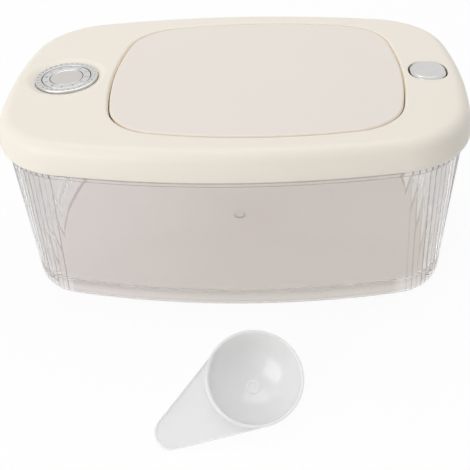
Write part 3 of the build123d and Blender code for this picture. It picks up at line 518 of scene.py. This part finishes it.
# Cover shell: a cream moulding with a slightly bowed skirt, a soft rounded edge and a flat top. The top has
# the door's opening, the button's hole and a round well with a shallow dish for the dial. The groove round
# the door is painted tan as painted shade, with a faint painted glow in its depth.
cream_plastic = moulded(
    "cream_plastic", tone(236, 229, 218), tone(233, 226, 214),
    gloss=0.45, grain=900.0, dent=0.05, glow="painted_gap_glow",
)
cover_top = 134.5
cover_under = 132.0
cover_foot = 114.75
cover_height = cover_top - cover_foot
cover_wall = 2.0
cover_edge = 9.5
cover_edge_under = 6.3
skirt_lean = 4.6
skirt_tuck = 0.6
skirt_bow = 1.6
skirt_steps = 20
opening_foot = 130.9
dial_x = -122.25
button_x = 138.0
well_radius = 23.1
well_floor = 130.0
well_under = 128.2
spindle_hole = 2.56
cover_outline = bowed_outline(165.0, 110.0, 617.0, 325.0, 60.0, end_steps=150)
opening_outline = bowed_outline(103.8, 86.6, 366.6, 260.6, 40.6, end_steps=110, centre_x=16.2)


def square_outline(half_length, half_depth, corner, steps, centre_x):
    """A near square with round corners, as arcs joined by straight runs."""
    made = []
    for quarter in range(4):
        middle = pi / 4 + quarter * pi / 2
        x = centre_x + sqrt(2) * (half_length - corner) * cos(middle)
        y = sqrt(2) * (half_depth - corner) * sin(middle)
        for step in range(steps + 1):
            made.append((x, y, corner, middle + pi / 2 * (step / steps - 1 / 2)))
    return made


def round_outline(radius, steps, centre_x):
    return [(centre_x, 0.0, radius, tau * step / steps) for step in range(steps)]


def swept(outline, profile):
    """A profile of (inset, height) carried round an outline, as rows of points."""
    return [ring(outline, inset, height) for inset, height in profile]


def fill_flat(shape, loops, up):
    """Closes the flat space between loops of points with faces."""
    edges = []
    for loop in loops:
        edges += [shape.edges.get((a, b)) for a, b in zip(loop, loop[1:] + loop[:1])]
    bmesh.ops.triangle_fill(shape, use_beauty=True, use_dissolve=False, edges=edges, normal=(0, 0, up))


inner_lean = skirt_lean * (cover_under - cover_foot) / cover_height
skirt = [(11.3, cover_under, 0), (cover_wall + inner_lean, cover_under, cover_edge_under)]
skirt += [(cover_wall, cover_foot, 0.5), (skirt_tuck, cover_foot, 0.8)]
for step in range(2, 12):
    tuck = skirt_tuck * max(0.0, 1 - step / 6) ** 2
    bow = skirt_lean * (step / skirt_steps) ** skirt_bow
    skirt.append((tuck + bow, cover_foot + cover_height * step / skirt_steps, 0))
skirt += [(skirt_lean, cover_top, cover_edge), (11.8, cover_top, 0)]
opening = [(-2.2, cover_top, 0), (0.0, cover_top, 1.8), (0.0, opening_foot, 0.15), (-0.4, opening_foot, 0.1)]
opening += [(-0.4, cover_under, 0), (-2.2, cover_under, 0)]
button_hole = [(-0.9, cover_top, 0), (0.0, cover_top, 0.8), (0.0, cover_under, 0.3), (-0.9, cover_under, 0)]
button_hole_outline = square_outline(13.6, 14.2, corner=12.4, steps=16, centre_x=button_x)
spindle_inset = well_radius - spindle_hole
well = [(-6.8, cover_top, 0), (-5.0, cover_top, 8.0), (0.0, 132.2, 0.4), (0.0, well_floor, 0.4)]
well += [(spindle_inset, well_floor, 0.2), (spindle_inset, well_under, 0.2), (-3.5, well_under, 0.6)]
well += [(-3.5, cover_under, 0.3), (-6.8, cover_under, 0)]
shape = bmesh.new()
painted_gap_glow = shape.verts.layers.float.new("painted_gap_glow")
skirt_rows = add_rows(shape, swept(cover_outline, rounded(skirt, 10)))
well_outline = round_outline(well_radius, 96, dial_x)
cuts = ((opening_outline, opening), (button_hole_outline, button_hole), (well_outline, well))
holes = [add_rows(shape, swept(outline, rounded(profile))) for outline, profile in cuts]
fill_flat(shape, [skirt_rows[-1]] + [hole[0] for hole in holes], 1)
fill_flat(shape, [skirt_rows[0]] + [hole[-1] for hole in holes], -1)
bmesh.ops.recalc_face_normals(shape, faces=shape.faces)
# The opening's lip reaches lower at the front and the back, and its ends stay clear of hinge and latch
lip_drop, lip_side = 2.4, 45.0
# The opening's wall is painted tan with a painted glow that grows with depth below the top
glow_start, glow_depth = 0.05, 1.2
for row in holes[0]:
    for point in row:
        point[painted_gap_glow] = max(0.0, min(1.0, (cover_top - glow_start - point.co.z / mm) / glow_depth))
        if point.co.z < (cover_under - 0.5) * mm and abs(point.co.y) > lip_side * mm:
            point.co.z -= lip_drop * mm
cover = new_piece("cream_cover", shape, cream_plastic)
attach(cover, "cover")
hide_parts("cover_shell")

# Screws and bosses: ten pan-head screws with a cross recess hold the frame to bosses under the cover, and
# four smaller ones hold the liner to the door. Zinc-plated steel, turned heads, driven from below.
zinc, link = new_finish("zinc_steel")
smear = clouds(link, scale=300.0, detail=3.0)
surfaced(link, {
    "Base Color": blended(link, smear, tone(176, 177, 180), tone(206, 206, 208)),
    "Roughness": 0.25 + 0.15 * smear,
    "Normal": bumps(link, clouds(link, scale=3000.0), strength=0.1, distance=0.0001),
    "Metallic": 1.0,
})
screw_turns = [tau * step / 32 for step in range(32)]


def screw_shape(head_radius, head_height, shank_radius, shank_length):
    """A screw with the seat of its head at the origin, the domed head below it and the shank above."""
    arm_width, arm_reach = head_radius * 0.14, head_radius * 0.62
    half_head = -head_height / 2
    dome, dome_shares = 0.35, (0.12, 0.3, 0.5, 0.7, 0.88)
    profile = [(head_radius * share, -head_height * (1 - dome * share**2)) for share in dome_shares]
    profile += [(head_radius, half_head), (head_radius, 0.0), (shank_radius, 0.0)]
    profile += [(shank_radius, shank_length - shank_radius), (shank_radius * 0.3, shank_length)]
    made = [[(0.0, 0.0, -head_height * 0.45)]]
    for radius, height in profile:
        row = []
        for turn in screw_turns:
            x, y = radius * cos(turn), radius * sin(turn)
            in_arm = min(abs(x), abs(y)) < arm_width and radius < arm_reach
            row.append((x, y, half_head if in_arm and height < half_head else height))
        made.append(row)
    made.append([(0.0, 0.0, shank_length)])
    shape = bmesh.new()
    add_rows(shape, made)
    return shape


# A tree that stands one small piece on every point
link = new_tree("standing_pieces", {"Piece": "NodeSocketObject", "Finish": "NodeSocketMaterial"})
source = link.node("NodeGroupInput", output="Piece")
small = link.node("GeometryNodeObjectInfo", {"Object": source}, output="Geometry")
points = link.node("NodeGroupInput", output="Geometry")
end_tree(link.node("GeometryNodeInstanceOnPoints", {"Points": points, "Instance": small}))
standing = link.tree


def stand(name, shape, places, finish):
    """Copies of one small piece at places in millimetres, as one object."""
    source = new_piece(name + "_one", shape, finish)
    mesh = bpy.data.meshes.new(name)
    mesh.from_pydata([Vector(place) * mm for place in places], [], [])
    made = new_object(name, mesh)
    bake_tree(made, standing, {"Piece": source, "Finish": finish})
    bpy.data.objects.remove(source)
    return made


# The screws stand along the sides and the ends of an outline inside the cover's
half_length, half_depth, side_radius, end_radius = 150.0, 95.0, 602.0, 310.0
screw_seat = 124.0
screw_places = []
for way in (1, -1):
    for share in (-0.45, 0.12, 0.65):
        x = share * half_length
        y = half_depth - side_radius + sqrt(side_radius**2 - x**2)
        screw_places.append((x, way * y, screw_seat))
    for share in (0.45, -0.45):
        y = share * half_depth
        x = half_length - end_radius + sqrt(end_radius**2 - y**2)
        screw_places.append((way * x, y, screw_seat))
pan_screw = screw_shape(head_radius=2.6, head_height=1.6, shank_radius=1.25, shank_length=7.0)
cover_screws = stand("pan_screws", pan_screw, screw_places, zinc)
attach(cover_screws, "cover")
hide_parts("cover_screws")
boss_foot = 126.5
boss_hole, boss_height = 4.8, 5.6
boss = [(1.3, boss_hole), (1.3, 0.2), (1.5, 0.0), (3.3, 0.0), (3.5, 0.2), (3.5, 5.0), (4.1, boss_height)]
boss_rows = [[(radius * cos(turn), radius * sin(turn), up) for turn in screw_turns] for radius, up in boss]
shape = bmesh.new()
add_rows(shape, [[(0.0, 0.0, boss_hole)]] + boss_rows + [[(0.0, 0.0, boss_height)]])
boss_places = [(x, y, boss_foot) for x, y, _ in screw_places]
cover_bosses = stand("cover_bosses", shape, boss_places, cream_plastic)
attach(cover_bosses, "cover")

# Door: a flush cream panel with a stiffening rib, two curved hinge arms and the latch's keeper, moulded in
# one and glossier than the cover. Its off-white liner is screwed on from below and carries a silicone ring.
# The panel's edge below its top is painted tan, as painted shade in the groove
door_cream = moulded(
    "door_cream", tone(231, 223, 215), tone(228, 220, 211),
    gloss=0.38, grain=1000.0, dent=0.06, painted_shade_top=134.3,
)
coat_node("door_panel", door_cream)
coat_node("door_liner", frame_plastic)
coat_node("door_seal", seal_rubber)
liner_seat = 126.5
liner_places = [(x, y, liner_seat) for x in (78.11, -32.11) for y in (47.52, -47.52)]
liner_screw = screw_shape(head_radius=2.2, head_height=1.3, shank_radius=1.0, shank_length=6.0)
door_screws = stand("liner_screws", liner_screw, liner_places, zinc)
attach(door_screws, "door")
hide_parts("door_screws")

# Hinge: a turned steel pin in the frame's ears, kept by a push-on ring, with a torsion spring of round wire.
# The coil and its standing leg stay with the cover. The loose leg and last quarter turn go with the door.
hinge_x = -93.6
hinge_z = 129.3
coil_radius = 1.85
coil_start = -6.1
coil_pitch = 1.2
coil_turns = 4.5
coil_steps = 32
standing_leg_foot = 117.55
loose_leg = 7.0
wire_radius = 0.35
coat_node("hinge_pin", zinc)
coat_node("pin_retainer", zinc)


def wire(shape, path, radius, sides=10):
    """A round wire along a path, with closed ends."""
    points = [Vector(point) for point in path]
    turns = [tau * side / sides for side in range(sides)]
    across = None
    rows = [[points[0]]]
    for number, point in enumerate(points):
        ahead = points[min(number + 1, len(points) - 1)] - points[max(number - 1, 0)]
        ahead.normalize()
        if across is None:
            across = ahead.orthogonal().normalized()
        across = (across - ahead * across.dot(ahead)).normalized()
        other = ahead.cross(across)
        rows.append([point + (across * cos(turn) + other * sin(turn)) * radius for turn in turns])
    rows.append([points[-1]])
    add_rows(shape, rows)


def door_coil(first, last):
    steps = round((last - first) * coil_steps)
    made = []
    for step in range(steps + 1):
        turns = first + (last - first) * step / steps
        x = hinge_x + coil_radius * cos(tau * turns)
        made.append((x, coil_start - coil_pitch * turns, hinge_z + coil_radius * sin(tau * turns)))
    return made


def wire_piece(name, paths, radius):
    shape = bmesh.new()
    for path in paths:
        wire(shape, path, radius)
    bmesh.ops.recalc_face_normals(shape, faces=shape.faces)
    return new_piece(name, shape, zinc)


coil = [(hinge_x + coil_radius, coil_start, standing_leg_foot), *door_coil(0.0, coil_turns)]
spring_coil = wire_piece("door_spring_coil", [coil], wire_radius)
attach(spring_coil, "cover")
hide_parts("door_spring")
tail = door_coil(coil_turns - 0.25, coil_turns)
tail.append((*tail[-1][:2], hinge_z - loose_leg))
spring_leg = wire_piece("door_spring_leg", [tail], wire_radius)
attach(spring_leg, "door")

# Push button: a hollow moulded cap in satin chrome plating, with a bevelled edge, two side flanges that stop
# it under the cover's skin, and a slanted leg that drives the latch slider.
plating_spread = 0.05


def plating(name, pale, deep, gloss, spun_x=None):
    """Satin chrome on plastic: a fine brushed or spun grain, and gloss that varies with it."""
    made, link = new_finish(name)
    cloud = clouds(link, scale=120.0, detail=3.0)
    if spun_x is None:
        grain = clouds(link, scale=400.0, detail=3.0, stretch=(1.0, 22.0, 22.0))
    else:
        centre = (-spun_x * mm, 0.0, 0.0)
        moved = link.node("ShaderNodeMapping", {"Vector": own_place(link), "Location": centre})
        flat = link.node("ShaderNodeVectorMath", {0: moved, 1: (1.0, 1.0, 0.0)}, operation="MULTIPLY")
        reach = link.node("ShaderNodeVectorMath", {0: flat}, output="Value", operation="LENGTH")
        grain = link.node("ShaderNodeTexNoise", {"W": reach, "Scale": 6000.0}, noise_dimensions="1D")
    surfaced(link, {
        "Base Color": blended(link, cloud, deep, pale),
        "Roughness": gloss - plating_spread + 2 * plating_spread * grain,
        "Metallic": 1.0,
        "Normal": bumps(link, grain, strength=0.05, distance=0.00005),
    })
    return made


button_chrome = plating("button_chrome", tone(208, 207, 205), tone(202, 201, 199), gloss=0.22)
button_top = 135.3
cap_foot = 130.2
cap_under = 133.3
cap_wall = 1.8
flange_top = 131.7
flange_start, flange_stop = 132.0, 144.0
flange_inner, flange_outer = 12.6, 15.2
leg_foot, leg_head = (131.15, 121.2), (143.25, 133.4)
leg_half_length, leg_half_depth = 1.5, 2.0
cap_outline = square_outline(12.4, 13.6, corner=11.5, steps=16, centre_x=button_x)
cap = [(6.0, cap_under, 0), (cap_wall, cap_under, 0.5), (cap_wall, cap_foot, 0.3), (0.0, cap_foot, 0.3)]
cap += [(0.0, 133.9, 0.5), (1.5, button_top, 0.5), (6.5, button_top, 0)]
shape = bmesh.new()
pole_under, pole_top = [(button_x, 0.0, cap_under)], [(button_x, 0.0, button_top)]
add_rows(shape, [pole_under] + swept(cap_outline, rounded(cap)) + [pole_top])


def box_corners(low_x, high_x, low_y, high_y, height):
    corners = ((low_x, low_y), (high_x, low_y), (high_x, high_y), (low_x, high_y))
    return [(x, y, height) for x, y in corners]


def add_block(shape, corners):
    """A closed block from four corners of its foot and four of its top, both anticlockwise from above."""
    made = [shape.verts.new(Vector(corner) * mm) for corner in corners]
    shape.faces.new(made[3::-1])
    shape.faces.new(made[4:])
    for here in range(4):
        on = (here + 1) % 4
        shape.faces.new((made[here], made[on], made[on + 4], made[here + 4]))


for near, far in ((-flange_outer, -flange_inner), (flange_inner, flange_outer)):
    flange = []
    for height in (cap_foot, flange_top):
        flange += box_corners(flange_start, flange_stop, near, far, height)
    add_block(shape, flange)
leg = []
for x, height in (leg_foot, leg_head):
    leg += box_corners(x - leg_half_length, x + leg_half_length, -leg_half_depth, leg_half_depth, height)
add_block(shape, leg)
button = new_piece("chrome_button", shape, button_chrome)
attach(button, "button")
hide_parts("push_button")

# Latch: a moulded slider in the frame's bay, with a slanted slot that the button's leg pushes along. The CAD
# solid has its shape. Two wire springs stand on the frame under the button.
coat_node("latch_slider", frame_plastic)
spring_foot, spring_head = 117.9, 132.9
spring_y = 8.2
spring_radius = 2.2
spring_wire = 0.3
spring_turns = 5
spring_steps = spring_turns * coil_steps
spring_paths = []
for y in (spring_y, -spring_y):
    path = []
    for step in range(spring_steps + 1):
        share = step / spring_steps
        turn = tau * spring_turns * share
        height = spring_foot + (spring_head - spring_foot) * share
        path.append((button_x + spring_radius * cos(turn), y + spring_radius * sin(turn), height))
    spring_paths.append(path)
button_springs = wire_piece("button_return_springs", spring_paths, spring_wire)
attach(button_springs, "cover")
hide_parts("button_springs")
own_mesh(button_springs)

# Date dial: a fixed chrome bezel with the days, a ring with the months that turns in it, and a plain knob.
# All three are turned mouldings in satin chrome plating. The figures and ticks are printed in grey.
dial_chrome = plating("dial_chrome", tone(206, 206, 204), tone(198, 198, 197), gloss=0.3, spun_x=dial_x)
knob_chrome = plating("knob_chrome", tone(202, 198, 195), tone(196, 192, 189), gloss=0.3, spun_x=dial_x)
print_grey = moulded(
    "print_grey", tone(128, 129, 132), tone(118, 119, 122), gloss=0.5, grain=1500.0, dent=0.05
)
dial_steps = 160
bezel_radius, bezel_inner, bezel_top = 22.8, 18.0, 134.2
ring_radius, ring_inner, ring_top = 17.5, 12.2, 134.0
ring_foot, ring_flange_top, ring_flange = 130.3, 131.2, 3.2
knob_radius, knob_top, knob_dish, knob_foot = 11.8, 133.95, 133.75, 131.5
hub_radius, hub_foot = 8.7, 130.3
stem_radius, stem_foot = 2.5, 128.0
bore_radius, bore_top = 1.16, 132.7


def turned(name, radius, profile, finish, poles=()):
    """A piece that is round about the dial's centre: a closed ring, or a disc with a pole above and below."""
    shape = bmesh.new()
    rows = swept(round_outline(radius, dial_steps, dial_x), rounded(profile))
    if poles:
        rows = [[(dial_x, 0.0, poles[0])]] + rows + [[(dial_x, 0.0, poles[1])]]
    add_rows(shape, rows, closed=not poles)
    bmesh.ops.recalc_face_normals(shape, faces=shape.faces)
    return new_piece(name, shape, finish)


bezel_width = bezel_radius - bezel_inner
bezel = [(0.0, well_floor, 0), (0.0, bezel_top, 0.9)]
bezel += [(bezel_width, bezel_top, 0.4), (bezel_width, well_floor, 0)]
ring_width = ring_radius - ring_inner
month_ring = [(0.0, ring_foot, 0), (0.0, ring_top, 0.4), (ring_width, ring_top, 0.4)]
month_ring += [(ring_width, ring_flange_top, 0), (ring_width + ring_flange, ring_flange_top, 0)]
month_ring += [(ring_width + ring_flange, ring_foot, 0)]
hub_inset = knob_radius - hub_radius
stem_inset = knob_radius - stem_radius
bore_inset = knob_radius - bore_radius
knob = [(3.0, knob_dish, 0), (1.5, knob_dish, 0.6), (0.9, knob_top, 0.3), (0.0, knob_top, 0.35)]
knob += [(0.0, knob_foot, 0.2), (hub_inset, knob_foot, 0), (hub_inset, hub_foot, 0.2)]
knob += [(stem_inset, hub_foot, 0), (stem_inset, stem_foot, 0.2)]
knob += [(bore_inset, stem_foot, 0), (bore_inset, bore_top, 0)]
for name, radius, profile, finish, poles, node, body in (
    ("chrome_bezel", bezel_radius, bezel, dial_chrome, (), "dial_bezel", "cover"),
    ("chrome_month_ring", ring_radius, month_ring, dial_chrome, (), "month_ring", "month_ring"),
    ("chrome_knob", knob_radius, knob, knob_chrome, (knob_dish, bore_top), "pointer_knob", "pointer_knob"),
):
    piece = turned(name, radius, profile, finish, poles)
    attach(piece, body)
    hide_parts(node)
coat_node("dial_screw", zinc)
print_thickness = 0.1  # half of it is sunk in the metal

# A tree that sets short radial ticks at equal steps round a centre
tick_sizes = dict.fromkeys(("Radius", "Length", "Width", "Thickness"), "NodeSocketFloat")
tick_sizes.update({"Count": "NodeSocketInt", "Finish": "NodeSocketMaterial"})
link = new_tree("dial_ticks", tick_sizes)
size = {name: link.node("NodeGroupInput", output=name) for name in tick_sizes}
circle = link.node("GeometryNodeMeshCircle", {"Vertices": size["Count"], "Radius": size["Radius"]})
sides = {"X": size["Length"], "Y": size["Width"], "Z": size["Thickness"]}
tick = link.node("GeometryNodeMeshCube", {"Size": link.node("ShaderNodeCombineXYZ", sides)})
outward = link.node("GeometryNodeInputPosition")
facing = link.node("FunctionNodeAlignEulerToVector", {"Vector": outward}, axis="X")
placed = {"Points": circle, "Instance": tick, "Rotation": facing}
end_tree(link.node("GeometryNodeInstanceOnPoints", placed))
ticks_tree = link.tree


def dial_ticks(name, count, radius, length, width, height):
    """Ticks round the dial's centre, moved to their height in the mesh."""
    made = new_object(name, bpy.data.meshes.new(name))
    values = {"Count": count, "Radius": radius * mm, "Length": length * mm, "Width": width * mm}
    bake_tree(made, ticks_tree, {**values, "Thickness": print_thickness * mm, "Finish": print_grey})
    made.data.transform(Matrix.Translation(Vector((dial_x, 0.0, height)) * mm))
    return made


def dial_figures(name, count, radius, size, height):
    """Plain numbers round the dial, read from the middle outwards, as one thin mesh."""
    joined = bmesh.new()
    for number in range(count):
        text = bpy.data.curves.new(name, "FONT")
        text.body = str(number + 1)
        text.size = size * mm
        text.align_x = text.align_y = "CENTER"
        text.extrude = print_thickness / 2 * mm
        text.resolution_u = 3
        holder = new_object(name, text)
        seen = holder.evaluated_get(bpy.context.evaluated_depsgraph_get())
        mesh = bpy.data.meshes.new_from_object(seen)
        turn = pi / 2 - tau * number / count
        centre = Vector((dial_x + radius * cos(turn), radius * sin(turn), height)) * mm
        mesh.transform(Matrix.Translation(centre) @ Matrix.Rotation(turn - pi / 2, 4, "Z"))
        joined.from_mesh(mesh)
        bpy.data.objects.remove(holder)
        bpy.data.meshes.remove(mesh)
    return new_piece(name, joined, print_grey)


day_ticks = dial_ticks("day_ticks", count=62, radius=18.9, length=0.7, width=0.22, height=bezel_top)
day_figures = dial_figures("day_figures", count=31, radius=20.6, size=2.1, height=bezel_top)
month_ticks = dial_ticks("month_ticks", count=12, radius=16.7, length=0.9, width=0.32, height=ring_top)
month_figures = dial_figures("month_figures", count=12, radius=14.6, size=2.9, height=ring_top)
for piece, body in (
    (day_ticks, "cover"), (day_figures, "cover"), (month_ticks, "month_ring"), (month_figures, "month_ring")
):
    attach(piece, body)

# Scoop: a thin translucent white polypropylene moulding, a round bowl with a lip and a low ring in its
# bottom, and a tongue for a handle with a bead along its edge. It lies loose in front of the tub, resting on
# the bowl and the tongue's tip.
scoop_plastic, link = new_finish("scoop_plastic")
milk = clouds(link, scale=40.0, detail=3.0)
skin = clouds(link, scale=1200.0)
depth = blended(link, milk, tone(227, 227, 227), tone(232, 232, 232))
solid = link.node("ShaderNodeBsdfPrincipled", {
    "Base Color": blended(link, painted(link, "painted_light_share"), depth, tone(255, 255, 255)),
    "Roughness": 0.14 + 0.08 * skin,
    "Normal": bumps(link, skin, strength=0.05, distance=0.0002),
    "IOR": 1.45,
    "Transmission Weight": 0.2,
    "Coat Weight": 1.0,
    "Coat Roughness": 0.06,
})
through = link.node("ShaderNodeBsdfTranslucent", {"Color": tone(250, 250, 250)})
through_share = 0.45
thin = link.node("ShaderNodeMixShader", {0: through_share, 1: solid, 2: through})
link.node("ShaderNodeOutputMaterial", {"Surface": thin})
scoop_lean = radians(24.56)
lean_heading = radians(-79.65)
handle_turn = radians(-65.74)
handle_droop = radians(7.05)
rim_x, rim_y = 17.1, -188.3
rim_radius = 30.7
bowl_depth = 24.5
bowl_wall = 1.6
bowl_steps = 128
bowl_sphere = (rim_radius**2 + bowl_depth**2) / (2 * bowl_depth)
hollow = bowl_sphere - bowl_wall
sphere_rise = bowl_sphere - bowl_depth
bowl_floor = sphere_rise - hollow
rim_centre = Vector((rim_x, rim_y, bowl_sphere - sphere_rise * cos(scoop_lean)))
lean = Matrix.Rotation(lean_heading, 3, "Z") @ Matrix.Rotation(scoop_lean, 3, "Y")
rim_normal = lean @ Vector((0, 0, 1))
handle_way = lean @ (Matrix.Rotation(handle_turn, 3, "Z") @ Vector((1, 0, 0)))
side_way = rim_normal.cross(handle_way)


def in_bowl(radius, turn, up):
    """A point of the bowl, round its axis and up from its rim."""
    across, side = radius * cos(turn), radius * sin(turn)
    return rim_centre + handle_way * across + side_way * side + rim_normal * up


def on_sphere(radius, turns):
    return [(radius * sin(turn), sphere_rise - radius * cos(turn)) for turn in turns]


outside_turn, outside_steps = 1.24, 22
inside_turn, nub_turn, inside_steps = 1.28, 0.175, 24
outside_turns = [outside_turn * step / outside_steps for step in range(1, outside_steps + 1)]
inside_span = inside_turn - nub_turn
inside_turns = [inside_turn - inside_span * step / inside_steps for step in range(inside_steps + 1)]
outside, inside = on_sphere(bowl_sphere, outside_turns), on_sphere(hollow, inside_turns)
lip = [(rim_radius - 0.85, -2.2, 0), (rim_radius - 0.6, -2.0, 0.2), (rim_radius, -2.0, 0.3)]
lip += [(rim_radius, 0.0, 0.75), (rim_radius - 1.64, 0.0, 0.7), (*inside[0], 0)]
lip = rounded(lip, 8)[1:-1]
nub_edge = 4.55
nub = [(4.9, bowl_floor + 0.4, 0), (4.6, bowl_floor + 0.38, 0.15), (4.4, bowl_floor + 0.95, 0.3)]
nub += [(2.9, bowl_floor + 0.9, 0.3), (2.7, bowl_floor + 0.12, 0.15), (1.0, bowl_floor + 0.02, 0)]
nub = rounded(nub, 4)[1:]
bowl_rows = [[in_bowl(0.0, 0.0, -bowl_depth)]]
for radius, height in outside + lip + inside + nub:
    bowl_rows.append([in_bowl(radius, tau * step / bowl_steps, height) for step in range(bowl_steps)])
bowl_rows.append([in_bowl(0.0, 0.0, bowl_floor)])

# Painted light: thick and turned edges are painted paler than the plain wall as painted highlights, and the
# inside is painted paler towards its far side
outside_pale, lip_pale, bead_pale, web_pale = 0.5, 0.85, 1.0, 0.5
far_pale, far_start = 0.7, 0.55
painted_light_share = [outside_pale] * (len(outside) + 1) + [lip_pale] * len(lip) + [0.0] * len(inside)
painted_light_share += [float(radius < nub_edge) for radius, _ in nub] + [1.0]
shape = bmesh.new()
painted_light_layer = shape.verts.layers.float.new("painted_light_share")
for row, pale in zip(add_rows(shape, bowl_rows), painted_light_share):
    for point in row:
        far_share = (point.co.y / mm - rim_centre.y) / (2 * rim_radius) + far_start
        point[painted_light_layer] = pale if pale else max(0.0, min(1.0, far_share)) * far_pale

# The tongue: two tangents from the bowl to a round tip, with the bead's section carried along that edge
tongue_way = handle_way * cos(handle_droop) - rim_normal * sin(handle_droop)
tongue_up = rim_normal * cos(handle_droop) + handle_way * sin(handle_droop)
tongue_side = tongue_up.cross(tongue_way)
tongue_root = rim_radius - 0.4
tongue_top, tongue_under = -1.3, -3.1
bead_width = 1.6
tip_radius = 10.3
tip_reach = 60.4
side_count, tip_count = 16, 16
tangent_turn = acos((tongue_root - tip_radius) / tip_reach)


def flat_way(turn):
    return Vector((cos(turn), sin(turn)))


tip_centre = Vector((tip_reach, 0.0))
side_start = flat_way(tangent_turn) * tongue_root
side_stop = tip_centre + flat_way(tangent_turn) * tip_radius
tongue_side_edge = [side_start.lerp(side_stop, step / side_count) for step in range(side_count + 1)]
edge = list(tongue_side_edge)
for step in range(1, tip_count):
    edge.append(tip_centre + flat_way(tangent_turn * (1 - step / (tip_count / 2))) * tip_radius)
edge += [Vector((point.x, -point.y)) for point in reversed(tongue_side_edge)]
tongue_rows = []
for number, point in enumerate(edge):
    turn = tangent_turn * (1 - 2 * number / (len(edge) - 1))
    root = flat_way(turn) * (rim_radius - 2.7 + 0.8 * abs(turn) / tangent_turn)
    width = (root - point).length
    inward = (root - point) / width
    squeeze = min(1.0, width / (2 * bead_width))
    section = [(width / squeeze, tongue_top, 0), (1.7, tongue_top, 0.5), (1.5, 0.0, 0.6), (0.0, 0.0, 0.6)]
    section += [(0.0, tongue_under, 0.5), (width / squeeze, tongue_under, 0)]
    section = rounded(section, 5)
    row = []
    for reach, up in section:
        flat = point + inward * reach * squeeze
        row.append(rim_centre + tongue_way * flat.x + tongue_side * flat.y + tongue_up * up)
    tongue_rows.append(row)
poles = []
for row in (tongue_rows[0], tongue_rows[-1]):
    poles.append([sum(row, Vector()) / len(row)])
# The tongue's bead is painted paler as a painted highlight
for row in add_rows(shape, [poles[0]] + tongue_rows + [poles[1]]):
    for point, (reach, up) in zip(row, section):
        point[painted_light_layer] = bead_pale if reach < bead_width and up > tongue_top + 0.1 else web_pale
bmesh.ops.recalc_face_normals(shape, faces=shape.faces)
scoop = new_piece("rice_scoop", shape, scoop_plastic)
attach(scoop, "scoop")
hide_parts("scoop")

# Studio: a plain white floor that keeps a faint shadow, a white surround, a large soft light overhead and
# slightly behind, a soft fill from the front left, and the camera at the photograph's place.
floor_half = 4.0
floor_colour = (0.93, 0.93, 0.93, 1.0)
floor_glow = 0.93
white = (1.0, 1.0, 1.0, 1.0)


def background_rays(link):
    """One for rays that show the background itself, straight, mirrored or through clear plastic."""
    kinds = ("Is Camera Ray", "Is Glossy Ray", "Is Transmission Ray")
    seen, mirrored, through = [link.node("ShaderNodeLightPath", output=kind) for kind in kinds]
    return seen.most(mirrored).most(through)


floor_white, link = new_finish("floor_white")
paper = link.node("ShaderNodeBsdfDiffuse", {"Color": floor_colour})
glow = link.node("ShaderNodeEmission", {"Color": white, "Strength": 1.0})
mixed = link.node("ShaderNodeMixShader", {0: background_rays(link) * floor_glow, 1: paper, 2: glow})
link.node("ShaderNodeOutputMaterial", {"Surface": mixed})
floor_mesh = bpy.data.meshes.new("studio_floor")
corners = box_corners(-floor_half, floor_half, -floor_half, floor_half, 0)
floor_mesh.from_pydata(corners, [], [(0, 1, 2, 3)])
floor_mesh.materials.append(floor_white)
floor = new_object("studio_floor", floor_mesh)

world = bpy.data.worlds.new("white_surround")
scene.world = world
world.use_nodes = True
world.node_tree.nodes.clear()
link = Link(world.node_tree)
surround_light = 0.5
shown = surround_light + (1 - surround_light) * background_rays(link)
sky = link.node("ShaderNodeBackground", {"Color": white, "Strength": shown})
link.node("ShaderNodeOutputWorld", {"Surface": sky})


def softbox(name, place, aim, width, depth, power):
    """A flat rectangular lamp that faces a point."""
    lamp = bpy.data.lights.new(name, "AREA")
    lamp.shape = "RECTANGLE"
    lamp.size = width
    lamp.size_y = depth
    lamp.energy = power
    holder = new_object(name, lamp)
    holder.location = place
    holder.rotation_euler = (Vector(aim) - Vector(place)).to_track_quat("-Z", "Y").to_euler()


softbox("overhead_softbox", place=(0.0, 0.35, 1.3), aim=(0.0, 0.0, 0.1), width=1.3, depth=1.0, power=6.45)
softbox("front_fill", place=(-1.15, -1.1, 0.8), aim=(0.0, 0.0, 0.08), width=1.4, depth=1.2, power=13.8)

camera = new_object("camera", bpy.data.cameras.new("camera"))
camera.data.lens = 56.41
camera.data.sensor_width = 36.0
camera_aim = Vector((-0.005062, 0.0, -0.015701))
camera_distance = 0.625147
azimuth, elevation, roll = radians(4.48), radians(39.141), radians(-3.034)
back = Vector((sin(azimuth) * cos(elevation), -cos(azimuth) * cos(elevation), sin(elevation)))
level = Vector((cos(azimuth), sin(azimuth), 0.0))
upward = back.cross(level)
across = level * cos(roll) + upward * sin(roll)
upright = upward * cos(roll) - level * sin(roll)
turned_axes = Matrix((across, upright, back)).transposed().to_4x4()
camera.matrix_world = Matrix.Translation(camera_aim + back * camera_distance) @ turned_axes
scene.camera = camera
scene.view_settings.view_transform = "Standard"
